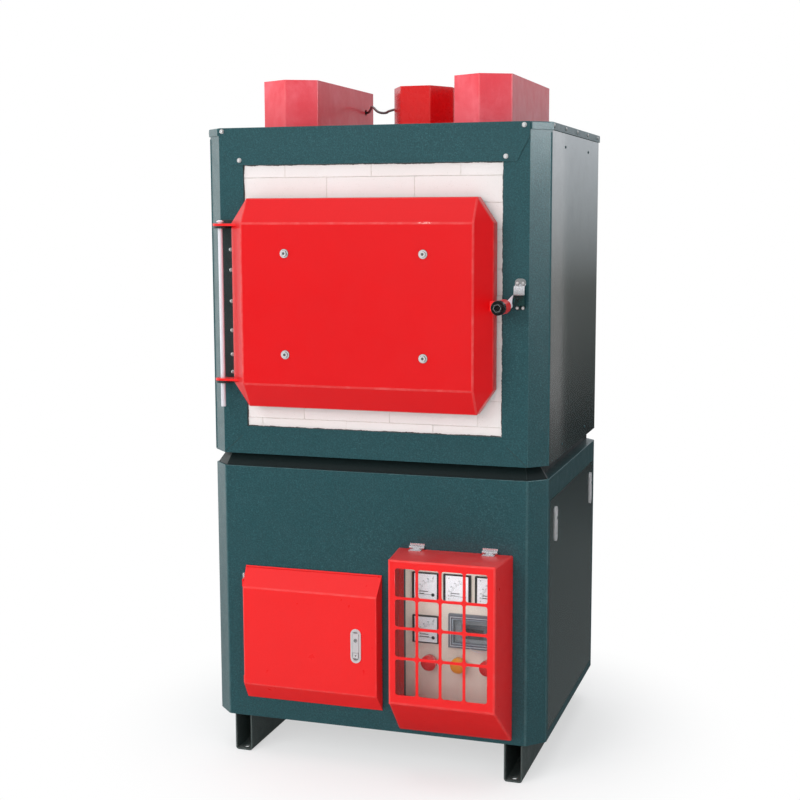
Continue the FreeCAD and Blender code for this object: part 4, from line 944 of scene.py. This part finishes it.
DIG = {t: text_mesh(t, 5.2) for t in ("0", "10", "20", "30", "40", "50")}
FRONT = Matrix(((1, 0, 0, 0), (0, 0, -1, 0), (0, 1, 0, 0), (0, 0, 0, 1)))
dial, ink, gl = bmesh.new(), bmesh.new(), bmesh.new()
for k, (mx, mz) in enumerate(((140.6, 494.0), (223.4, 494.0), (306.2, 494.0), (141.3, 381.4))):
    def onface(u, v, y, roll=0.0, mx=mx, mz=mz):
        return Matrix.Translation(P(mx + u, y, mz + v)) @ Matrix.Rotation(R(-roll), 4, "Y") @ FRONT
    bm_box(mx - 29.8, mx + 29.8, 11.9 - D2, 12.45 - D2, mz - 32.8, mz + 32.8, dial)
    tick = to_mesh(bm_box(-0.28, 0.28, -2.4, 2.4, 0, 0.1))
    small = to_mesh(bm_box(-0.16, 0.16, -1.3, 1.3, 0, 0.1))
    px, pz, rad = 19.5, -20.6, 37.0
    for i in range(26):
        a = 180.0 - i * 90.0 / 25
        m4 = onface(px + rad * math.cos(R(a)), pz + rad * math.sin(R(a)), 11.88, a - 90)
        put(ink, tick if i % 5 == 0 else small, m4)
    for i in range(40):
        a = 180.0 - (i + 0.5) * 90.0 / 40
        put(ink, to_mesh(bm_box(-0.82, 0.82, -0.14, 0.14, 0, 0.09)), onface(px + (rad - 3) * math.cos(R(a)), pz + (rad - 3) * math.sin(R(a)), 11.88, a - 90))
    for i, t in enumerate(("0", "10", "20", "30", "40", "50")):
        a = 180.0 - i * 18.0
        put(ink, DIG[t], onface(px + (rad + 5.6) * math.cos(R(a)) + (1.5 if i == 0 else 0), pz + (rad + 5.6) * math.sin(R(a)) + (0.0 if i else 1.5), 11.86))
    # needle at rest, pivot cover and adjusting screw
    na = 178.0 - (2.0 if k == 1 else 0.0)
    put(ink, to_mesh(bm_box(-0.35, 0.35, 0, 35.5, 0, 0.5)), onface(px, pz, 11.5, na - 90))
    put(ink, to_mesh(lathe([(0, 0), (4.4, 0), (4.4, 0.4), (3.9, 0.6), (0, 0.65)], 32)), onface(px, pz, 11.8))
    bm_box(mx - 16, mx + 7, 11.80 - D2, 11.92 - D2, mz - 13.6, mz - 11.6, ink)
    bm_box(mx - 16, mx + (8 if k == 3 else -4), 11.80 - D2, 11.92 - D2, mz - 19.4, mz - 18.0, ink)
    for u, v in ((-21, 26), (-21, -27), (21, 26)):
        put(ink, to_mesh(lathe([(0, 0), (1.1, 0), (1.1, 0.15), (0, 0.2)], 16)), onface(u, v, 11.9))
    bm_box(mx - 29.8, mx + 29.8, 11.05 - D2, 11.20 - D2, mz - 32.8, mz + 32.8, gl)
new_piece(dial, "meter_dials", "cabinet", MAT["dial_white"])
new_piece(ink, "meter_scales", "cabinet", MAT["dial_ink"], sharp=40)
new_piece(gl, "meter_glass", "cabinet", MAT["clear_pane"]).visible_shadow = False

# ---------------------------------------------------------------- breaker window
soft("breaker_box", (0.8, 2))
bm = bmesh.new()
BX0, BX1, BZ0, BZ1 = 201.5, 334.5, 340.2, 428.2


def outline(bm, x0, x1, z0, z1, w, y0, y1):
    for a in ((x0, x1, z0, z0 + w), (x0, x1, z1 - w, z1), (x0, x0 + w, z0 + w, z1 - w), (x1 - w, x1, z0 + w, z1 - w)):
        bm_box(a[0], a[1], y0 - D2, y1 - D2, a[2], a[3], bm)


outline(bm, BX0 + 5.4, BX1 - 5.4, BZ0 + 4.6, BZ1 - 6.6, 1.5, 7.9, 9.05)
outline(bm, BX0 + 11.2, BX1 - 11.2, BZ0 + 11.2, BZ1 - 11.6, 1.4, 8.1, 9.05)
lay = bm.faces.layers.float.new("edge")
bevel(bm, sharp_edges(bm, 30), 0.3, 1, lay)
new_piece(bm, "breaker_frame_ribs", "cabinet", MAT["grey_light"])
bm = bmesh.new()
for i in range(6):
    x0 = 215.9 + i * 17.4
    if 238 - 17 < x0 < 290:
        for a, b in ((352.0, 361.6), (400.4, 414.6)):
            bm_box(x0, x0 + 17.0, 22 - D2, 25.95 - D2, a, b, bm)
    else:
        bm_box(x0, x0 + 17.0, 22 - D2, 25.95 - D2, 352.0, 414.6, bm)
        bm_box(x0 + 3, x0 + 14, 19.5 - D2, 21.98 - D2, 368, 390, bm)
lay = bm.faces.layers.float.new("edge")
bevel(bm, sharp_edges(bm, 30), 0.4, 1, lay)
new_piece(bm, "breaker_modules", "cabinet", MAT["module_grey"])
soft("breaker_flap", (0.3, 1)).visible_shadow = False
soft("breaker_toggle", (0.4, 2), mat=MAT["black_plastic"])
# finger lip of the flap: a shallow crescent below the frame, coloured near-white as a painted highlight along its curve
bm = bmesh.new()
rows = []
for i in range(25):
    t = -1 + 2 * i / 24
    x = 284.0 + 25.0 * t
    zo = 343.8 - 9.6 * math.cos(t * math.pi / 2) ** 0.8
    zi = zo + 3.6 * (1 - 0.5 * abs(t))
    rows.append([bm.verts.new(P(x, y, z)) for y, z in ((4.6, zo), (3.6, zi), (5.0, zi), (6.2, zo))])
for A, B in zip(rows, rows[1:]):
    for k in range(4):
        bm.faces.new((A[k], A[(k + 1) % 4], B[(k + 1) % 4], B[k]))
bm.faces.new(rows[0])
bm.faces.new(list(reversed(rows[-1])))
bmesh.ops.recalc_face_normals(bm, faces=bm.faces)
new_piece(bm, "breaker_flap_lip", "breaker_flap", MAT["lip_white"], sharp=50)
for n in ("button_red_left", "button_amber", "button_red_right"):
    soft(n, (0.8, 3), sharp=50)
soft("button_collars", (0.5, 2), sharp=40)

# ---------------------------------------------------------------- sensor lead with a woven steel sleeve
pts = [(-215, 505, 1722), (-178, 505, 1719.9), (-160, 480, 1727), (-141, 446, 1729.7), (-122, 440, 1716), (-106, 446, 1714), (-90, 433, 1717.5), (-63, 420, 1721.5), (-40, 416, 1723)]
crv = bpy.data.curves.new("lead", "CURVE")
crv.dimensions = "3D"
sp = crv.splines.new("BEZIER")
sp.bezier_points.add(len(pts) - 1)
for b, p in zip(sp.bezier_points, pts):
    b.co = P(*p)
    b.handle_left_type = b.handle_right_type = "AUTO"
sp.resolution_u = 24
lo_ = bpy.data.objects.new("lead", crv)
SCN.collection.objects.link(lo_)
bpy.context.view_layer.update()
cm = bpy.data.meshes.new_from_object(lo_.evaluated_get(bpy.context.evaluated_depsgraph_get()))
line = [v.co.copy() for v in cm.vertices]
bpy.data.objects.remove(lo_)
fine = []
for a, b in zip(line, line[1:]):
    k = max(1, int((b - a).length / 0.0007))
    fine += [a.lerp(b, i / k) for i in range(k)]
fine.append(line[-1])
bm = bmesh.new()
bm.faces.layers.float.new("edge")
prev, nrm, arc = None, Vector((0, 0, 1)), 0.0
for i, p in enumerate(fine):
    t = (fine[min(i + 1, len(fine) - 1)] - fine[max(i - 1, 0)]).normalized()
    nrm = (nrm - t * nrm.dot(t)).normalized()
    bn = t.cross(nrm)
    if i:
        arc += (p - fine[i - 1]).length
    ringv = []
    for j in range(20):
        a = 2 * math.pi * j / 20
        u = a * 5 / (2 * math.pi) + arc / 0.0052
        v = a * 5 / (2 * math.pi) - arc / 0.0052
        h = max(abs(math.sin(math.pi * u)), abs(math.sin(math.pi * v)))
        r = 0.00305 + 0.00042 * h
        ringv.append(bm.verts.new(p + (nrm * math.cos(a) + bn * math.sin(a)) * r))
    if prev:
        for j in range(20):
            bm.faces.new((prev[j], prev[(j + 1) % 20], ringv[(j + 1) % 20], ringv[j]))
    else:
        bm.faces.new(list(reversed(ringv)))
    prev = ringv
bm.faces.new(prev)
bmesh.ops.recalc_face_normals(bm, faces=bm.faces)
new_piece(bm, "sensor_lead_sleeve", "cabinet", MAT["braid"], "sensor_cable", 60, False)

# ---------------------------------------------------------------- rear panel louvres
soft("lower_rear_panel", (0.4, 1))
bm = bmesh.new()
bm.faces.layers.float.new("edge")
for r in range(6):
    for c in (-210.0, 210.0):
        zt, zb = 569.5 + 22 * r, 559.0 + 22 * r
        prev = None
        for i in range(29):
            u = -1 + 2 * i / 28
            end = math.sqrt(max(0.0, 1 - abs(u) ** 8))
            x = c + 94.0 * u
            outer, inner = [], []
            for k in range(8):
                a = math.pi / 2 * k / 7
                outer.append(bm.verts.new(P(x, D + 2.0 + 0.03 + 7.5 * end * math.sin(a), zb + (zt - zb) * math.cos(a))))
                inner.append(bm.verts.new(P(x, D + 2.0 + 0.02 + max(0.0, 7.5 * end - 1.1) * math.sin(a), zb + (zt - zb - 1.1) * math.cos(a))))
            loop = outer + list(reversed(inner))
            if prev:
                for k in range(len(loop)):
                    bm.faces.new((prev[k], prev[(k + 1) % 16], loop[(k + 1) % 16], loop[k]))
            else:
                bm.faces.new(list(reversed(loop)))
            prev = loop
        bm.faces.new(prev)
bmesh.ops.recalc_face_normals(bm, faces=bm.faces)
new_piece(bm, "rear_louvre_hoods", "cabinet", MAT["green_side"], None, 50)

# ---------------------------------------------------------------- transformer and control gear
bm = mesh_of("transformer")
lay = bm.faces.layers.float.new("edge")
isl = sorted(islands(bm), key=lambda q: len(q))
coil = []
for grp in isl:
    lo, hi = limits(grp)
    if hi[2] < 0.3:
        coil += grp
bmesh.ops.delete(bm, geom=coil, context="FACES")
bevel(bm, sharp_edges(bm, 30), 1.0, 1, lay)
new_piece(bm, "transformer_core", "cabinet", MAT["core_steel"], "transformer")
bm = bmesh.new()
bm.faces.layers.float.new("edge")
for cx, xa, xb in ((-310.0, -344.0, -280.5), (-210.0, -239.5, -180.5), (-110.0, -139.5, -76.0)):
    for t in range(17):
        z = 165.8 + t * 7.5
        prev = None
        path = []
        hx_, hy_, rr = 25.0, 52.0, 12.0
        for q in range(48):
            a = 2 * math.pi * q / 48
            ca, sa = math.cos(a), math.sin(a)
            ex, ey = (abs(ca) ** 0.35) * (1 if ca >= 0 else -1), (abs(sa) ** 0.35) * (1 if sa >= 0 else -1)
            path.append(Vector((cx + hx_ * ex, 385 + hy_ * ey, z)))
        rings = []
        for q in range(48):
            p = path[q]
            tn = (path[(q + 1) % 48] - path[q - 1]).normalized()
            nn = Vector((tn.y, -tn.x, 0))
            rings.append([bm.verts.new(P(*(p + nn * (3.5 * math.cos(b)) + Vector((0, 0, 3.5 * math.sin(b)))))) for b in [2 * math.pi * w / 8 for w in range(8)]])
        for q in range(48):
            A, B = rings[q], rings[(q + 1) % 48]
            for w in range(8):
                bm.faces.new((A[w], A[(w + 1) % 8], B[(w + 1) % 8], B[w]))
bmesh.ops.recalc_face_normals(bm, faces=bm.faces)
new_piece(bm, "transformer_windings", "cabinet", MAT["copper"], None, 60, False)

bm = mesh_of("control_gear")
lay = bm.faces.layers.float.new("edge")
mi = []
for grp in islands(bm):
    lo, hi = limits(grp)
    w, hgt, dep = (hi[0] - lo[0]) * 1000, (hi[2] - lo[2]) * 1000, (hi[1] - lo[1]) * 1000
    k = 0
    if 55 < w < 70 and hgt > 80:
        k = 1
    elif w > 500 and hgt < 60:
        k = 2
    elif w < 30:
        k = 3
    elif w > 500:
        k = 0
    else:
        k = 4
    for f in grp:
        f.material_index = k
bevel(bm, sharp_edges(bm, 30), 0.6, 1, lay)
new_piece(bm, "control_gear_finished", "cabinet", [MAT["galvanised"], MAT["black_plastic"], MAT["grey_plastic"], MAT["module_grey"], MAT["terminal_alu"]], "control_gear")
for n in ("heating_elements", "element_terminals", "thermocouple"):
    soft(n, (0.5, 1), sharp=40)

# =============================================================================
# stage: floor, light, camera
# =============================================================================
fm = bpy.data.meshes.new("floor")
fm.from_pydata([(-30, -30, 0), (30, -30, 0), (30, 30, 0), (-30, 30, 0)], [], [(0, 1, 2, 3)])
floor = bpy.data.objects.new("floor", fm)
SCN.collection.objects.link(floor)
floor.location.z = -0.0005
g = G("floor")
dist = g.n("VectorMath", {0: g.stretch(1, 1, 0)}, operation="LENGTH").outputs["Value"]
fade = g.map(dist, 0.42, 0.95, 0.55, 1.0, True)
cam_ray = g.n("LightPath").outputs["Is Camera Ray"]
df = g.n("BsdfDiffuse", {"Color": g.mix(g.map(g.noise(2.5, 4.0), 0.3, 0.7), (0.90, 0.90, 0.90), (0.93, 0.93, 0.93)), "Roughness": 0.5})
em = g.n("Emission", {"Color": (1, 1, 1, 1), "Strength": 1.0})
ms = g.n("MixShader", {0: g.math("MULTIPLY", fade, cam_ray), 1: df.outputs[0], 2: em.outputs[0]})
g.t.links.new(ms.outputs[0], g.out.inputs["Surface"])
fm.materials.append(g.m)
floor.visible_glossy = False
floor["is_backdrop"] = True

world = bpy.data.worlds.new("studio")
SCN.world = world
world.use_nodes = True
wt = world.node_tree
wt.nodes.clear()
wo = wt.nodes.new("ShaderNodeOutputWorld")
lp = wt.nodes.new("ShaderNodeLightPath")
tc = wt.nodes.new("ShaderNodeTexCoord")
sx = wt.nodes.new("ShaderNodeSeparateXYZ")
wt.links.new(tc.outputs["Generated"], sx.inputs[0])
ramp = wt.nodes.new("ShaderNodeValToRGB")
mr = wt.nodes.new("ShaderNodeMapRange")
mr.inputs["From Min"].default_value = -1.0
mr.inputs["From Max"].default_value = 1.0
wt.links.new(sx.outputs["Z"], mr.inputs["Value"])
wt.links.new(mr.outputs["Result"], ramp.inputs["Fac"])
els = ramp.color_ramp.elements
els[0].position, els[0].color = 0.0, (0.03, 0.03, 0.03, 1)
els[1].position, els[1].color = 1.0, (0.75, 0.77, 0.80, 1)
for p, c in ((0.33, (0.090, 0.098, 0.098)), (0.385, (0.080, 0.088, 0.088)), (0.425, (0.014, 0.016, 0.016)), (0.475, (0.10, 0.105, 0.10)), (0.503, (0.40, 0.43, 0.45)), (0.53, (0.66, 0.70, 0.74)), (0.60, (0.66, 0.69, 0.72)), (0.75, (0.45, 0.47, 0.50))):
    e = els.new(p)
    e.color = c + (1.0,)
b1 = wt.nodes.new("ShaderNodeBackground")
b2 = wt.nodes.new("ShaderNodeBackground")
az = wt.nodes.new("ShaderNodeMath")
az.operation = "ARCTAN2"
wt.links.new(sx.outputs["X"], az.inputs[0])
wt.links.new(sx.outputs["Y"], az.inputs[1])
st = wt.nodes.new("ShaderNodeMapRange")
st.inputs["From Min"].default_value = R(11.05)
st.inputs["From Max"].default_value = R(11.15)
wt.links.new(az.outputs[0], st.inputs["Value"])
st2 = wt.nodes.new("ShaderNodeMapRange")
st2.inputs["From Min"].default_value = R(16.0)
st2.inputs["From Max"].default_value = R(13.0)
wt.links.new(az.outputs[0], st2.inputs["Value"])
sm = wt.nodes.new("ShaderNodeMath")
sm.operation = "MULTIPLY"
wt.links.new(st.outputs[0], sm.inputs[0])
wt.links.new(st2.outputs[0], sm.inputs[1])
sg = wt.nodes.new("ShaderNodeMath")
sg.operation = "MULTIPLY"
wt.links.new(sm.outputs[0], sg.inputs[0])
wt.links.new(lp.outputs["Is Glossy Ray"], sg.inputs[1])
strip = wt.nodes.new("ShaderNodeMix")
strip.data_type = "RGBA"
strip.blend_type = "ADD"
strip.inputs[7].default_value = (0.26, 0.25, 0.25, 1)
sz = wt.nodes.new("ShaderNodeMapRange")
sz.interpolation_type = "SMOOTHSTEP"
sz.inputs["From Min"].default_value = -0.20
sz.inputs["From Max"].default_value = -0.11
wt.links.new(sx.outputs["Z"], sz.inputs["Value"])
sg2 = wt.nodes.new("ShaderNodeMath")
sg2.operation = "MULTIPLY"
wt.links.new(sg.outputs[0], sg2.inputs[0])
wt.links.new(sz.outputs["Result"], sg2.inputs[1])
wt.links.new(sg2.outputs[0], strip.inputs[0])
front = wt.nodes.new("ShaderNodeMapRange")
front.interpolation_type = "SMOOTHSTEP"
front.inputs["From Min"].default_value = 0.25
front.inputs["From Max"].default_value = -0.35
wt.links.new(sx.outputs["Y"], front.inputs["Value"])
rf = wt.nodes.new("ShaderNodeValToRGB")
wt.links.new(mr.outputs["Result"], rf.inputs["Fac"])
fe = rf.color_ramp.elements
fe[0].position, fe[0].color = 0.0, (0.30, 0.30, 0.30, 1)
fe[1].position, fe[1].color = 1.0, (0.60, 0.62, 0.64, 1)
for p, c in ((0.36, (0.26, 0.26, 0.26)), (0.455, (0.05, 0.055, 0.055)), (0.485, (0.10, 0.105, 0.11)), (0.51, (0.24, 0.25, 0.26)), (0.60, (0.32, 0.33, 0.34)), (0.72, (0.50, 0.52, 0.54))):
    e = fe.new(p)
    e.color = c + (1.0,)
env = wt.nodes.new("ShaderNodeMix")
env.data_type = "RGBA"
wt.links.new(front.outputs["Result"], env.inputs[0])
wt.links.new(ramp.outputs["Color"], env.inputs[6])
wt.links.new(rf.outputs["Color"], env.inputs[7])
# pale wall on the left, seen only in reflections
lw = wt.nodes.new("ShaderNodeMapRange")
lw.interpolation_type = "SMOOTHSTEP"
lw.inputs["From Min"].default_value = -0.62
lw.inputs["From Max"].default_value = -0.86
wt.links.new(sx.outputs["X"], lw.inputs["Value"])
lz = wt.nodes.new("ShaderNodeMapRange")
lz.interpolation_type = "SMOOTHSTEP"
lz.inputs["From Min"].default_value = -0.28
lz.inputs["From Max"].default_value = -0.10
lz.inputs["To Min"].default_value = 0.40
wt.links.new(sx.outputs["Z"], lz.inputs["Value"])
lh = wt.nodes.new("ShaderNodeMath")
lh.operation = "MULTIPLY"
wt.links.new(lw.outputs["Result"], lh.inputs[0])
wt.links.new(lz.outputs["Result"], lh.inputs[1])
lg = wt.nodes.new("ShaderNodeMath")
lg.operation = "MULTIPLY"
wt.links.new(lh.outputs[0], lg.inputs[0])
wt.links.new(lp.outputs["Is Glossy Ray"], lg.inputs[1])
left = wt.nodes.new("ShaderNodeMix")
left.data_type = "RGBA"
left.inputs[7].default_value = (1.5, 1.55, 1.55, 1)
wt.links.new(lg.outputs[0], left.inputs[0])
wt.links.new(env.outputs[2], left.inputs[6])
wt.links.new(left.outputs[2], strip.inputs[6])
wt.links.new(strip.outputs[2], b1.inputs["Color"])
amb = wt.nodes.new("ShaderNodeMapRange")
amb.inputs["To Min"].default_value = 1.0
amb.inputs["To Max"].default_value = 0.75
wt.links.new(lp.outputs["Is Diffuse Ray"], amb.inputs["Value"])
wt.links.new(amb.outputs["Result"], b1.inputs["Strength"])
b2.inputs["Color"].default_value = (1, 1, 1, 1)
b2.inputs["Strength"].default_value = 1.0
mx = wt.nodes.new("ShaderNodeMixShader")
wt.links.new(lp.outputs["Is Camera Ray"], mx.inputs[0])
wt.links.new(b1.outputs[0], mx.inputs[1])
wt.links.new(b2.outputs[0], mx.inputs[2])
wt.links.new(mx.outputs[0], wo.inputs["Surface"])


def area(name, loc, target, sx, sy, power, col=(1, 1, 1), gloss=True):
    l = bpy.data.lights.new(name, "AREA")
    l.shape = "RECTANGLE"
    l.size, l.size_y = sx, sy
    l.energy = power
    l.color = col
    o = bpy.data.objects.new(name, l)
    SCN.collection.objects.link(o)
    o.location = loc
    o.rotation_mode = "QUATERNION"
    o.rotation_quaternion = (Vector(target) - Vector(loc)).to_track_quat("-Z", "Y")
    o.visible_camera = False
    o.visible_glossy = gloss
    return o


area("key", (-1.9, -4.4, 2.9), (0, 0, 0.8), 3.2, 2.6, 92, gloss=False)
area("fill", (0.7, -5.0, 1.5), (0, 0, 0.6), 2.6, 2.4, 58, gloss=False)
area("top", (0.0, -0.3, 4.4), (0, 0, 0.5), 3.6, 3.6, 62, gloss=False)
bounce = area("panel_bounce", P(222, -92, 552), P(222, 20, 400), 0.20, 0.03, 0.16, gloss=False)
card = area("right_card", (4.2, -0.9, 2.5), (0.3, 0, 1.3), 1.6, 1.6, 110, (0.90, 0.97, 1.0))
card.visible_diffuse = False
# the card is aimed at the casing and its lid; the door and the cabinet doors stand outside its beam
beam = bpy.data.collections.new("card_beam")
for o in list(SCN.objects):
    if o.type == "MESH" and o.name.split("_finished")[0] in ("upper_frame", "top_rail", "lid", "lower_frame", "cover_left", "cover_right", "cover_mid"):
        beam.objects.link(o)
card.light_linking.receiver_collection = beam
# the bay lamp stands for light thrown back by the floor; it reaches the panel and what is on it
bay = bpy.data.collections.new("bay_beam")
for o in list(SCN.objects):
    if o.type == "MESH" and o.name not in NODES and not o.name.startswith(("grille_", "floor")):
        bay.objects.link(o)
bounce.light_linking.receiver_collection = bay
area("back", (-1.5, 4.6, 2.6), (0, 0, 1.0), 3.0, 2.4, 60, gloss=False)

cam = bpy.data.cameras.new("camera")
camo = bpy.data.objects.new("camera", cam)
SCN.collection.objects.link(camo)
CX, CY, CZ, PI, YA, RO, FPX = 1141.0211, -3323.5563, 1430.9733, R(7.4877), R(17.7411), R(-0.1781), 1402.9765
F = Vector((-math.sin(YA) * math.cos(PI), math.cos(YA) * math.cos(PI), -math.sin(PI)))
RT = Vector((math.cos(YA), math.sin(YA), 0))
UP = RT.cross(F)
r_ = RT * math.cos(RO) + UP * math.sin(RO)
u_ = -RT * math.sin(RO) + UP * math.cos(RO)
m = Matrix((r_, u_, -F)).transposed().to_4x4()
m.translation = P(CX, CY, CZ)
camo.matrix_world = m
cam.sensor_width = 36.0
cam.lens = FPX * 36.0 / 800.0
cam.clip_start, cam.clip_end = 0.05, 100.0
SCN.camera = camo
SCN.view_settings.view_transform = "Standard"
SCN.view_settings.look = "None"

lo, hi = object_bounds()
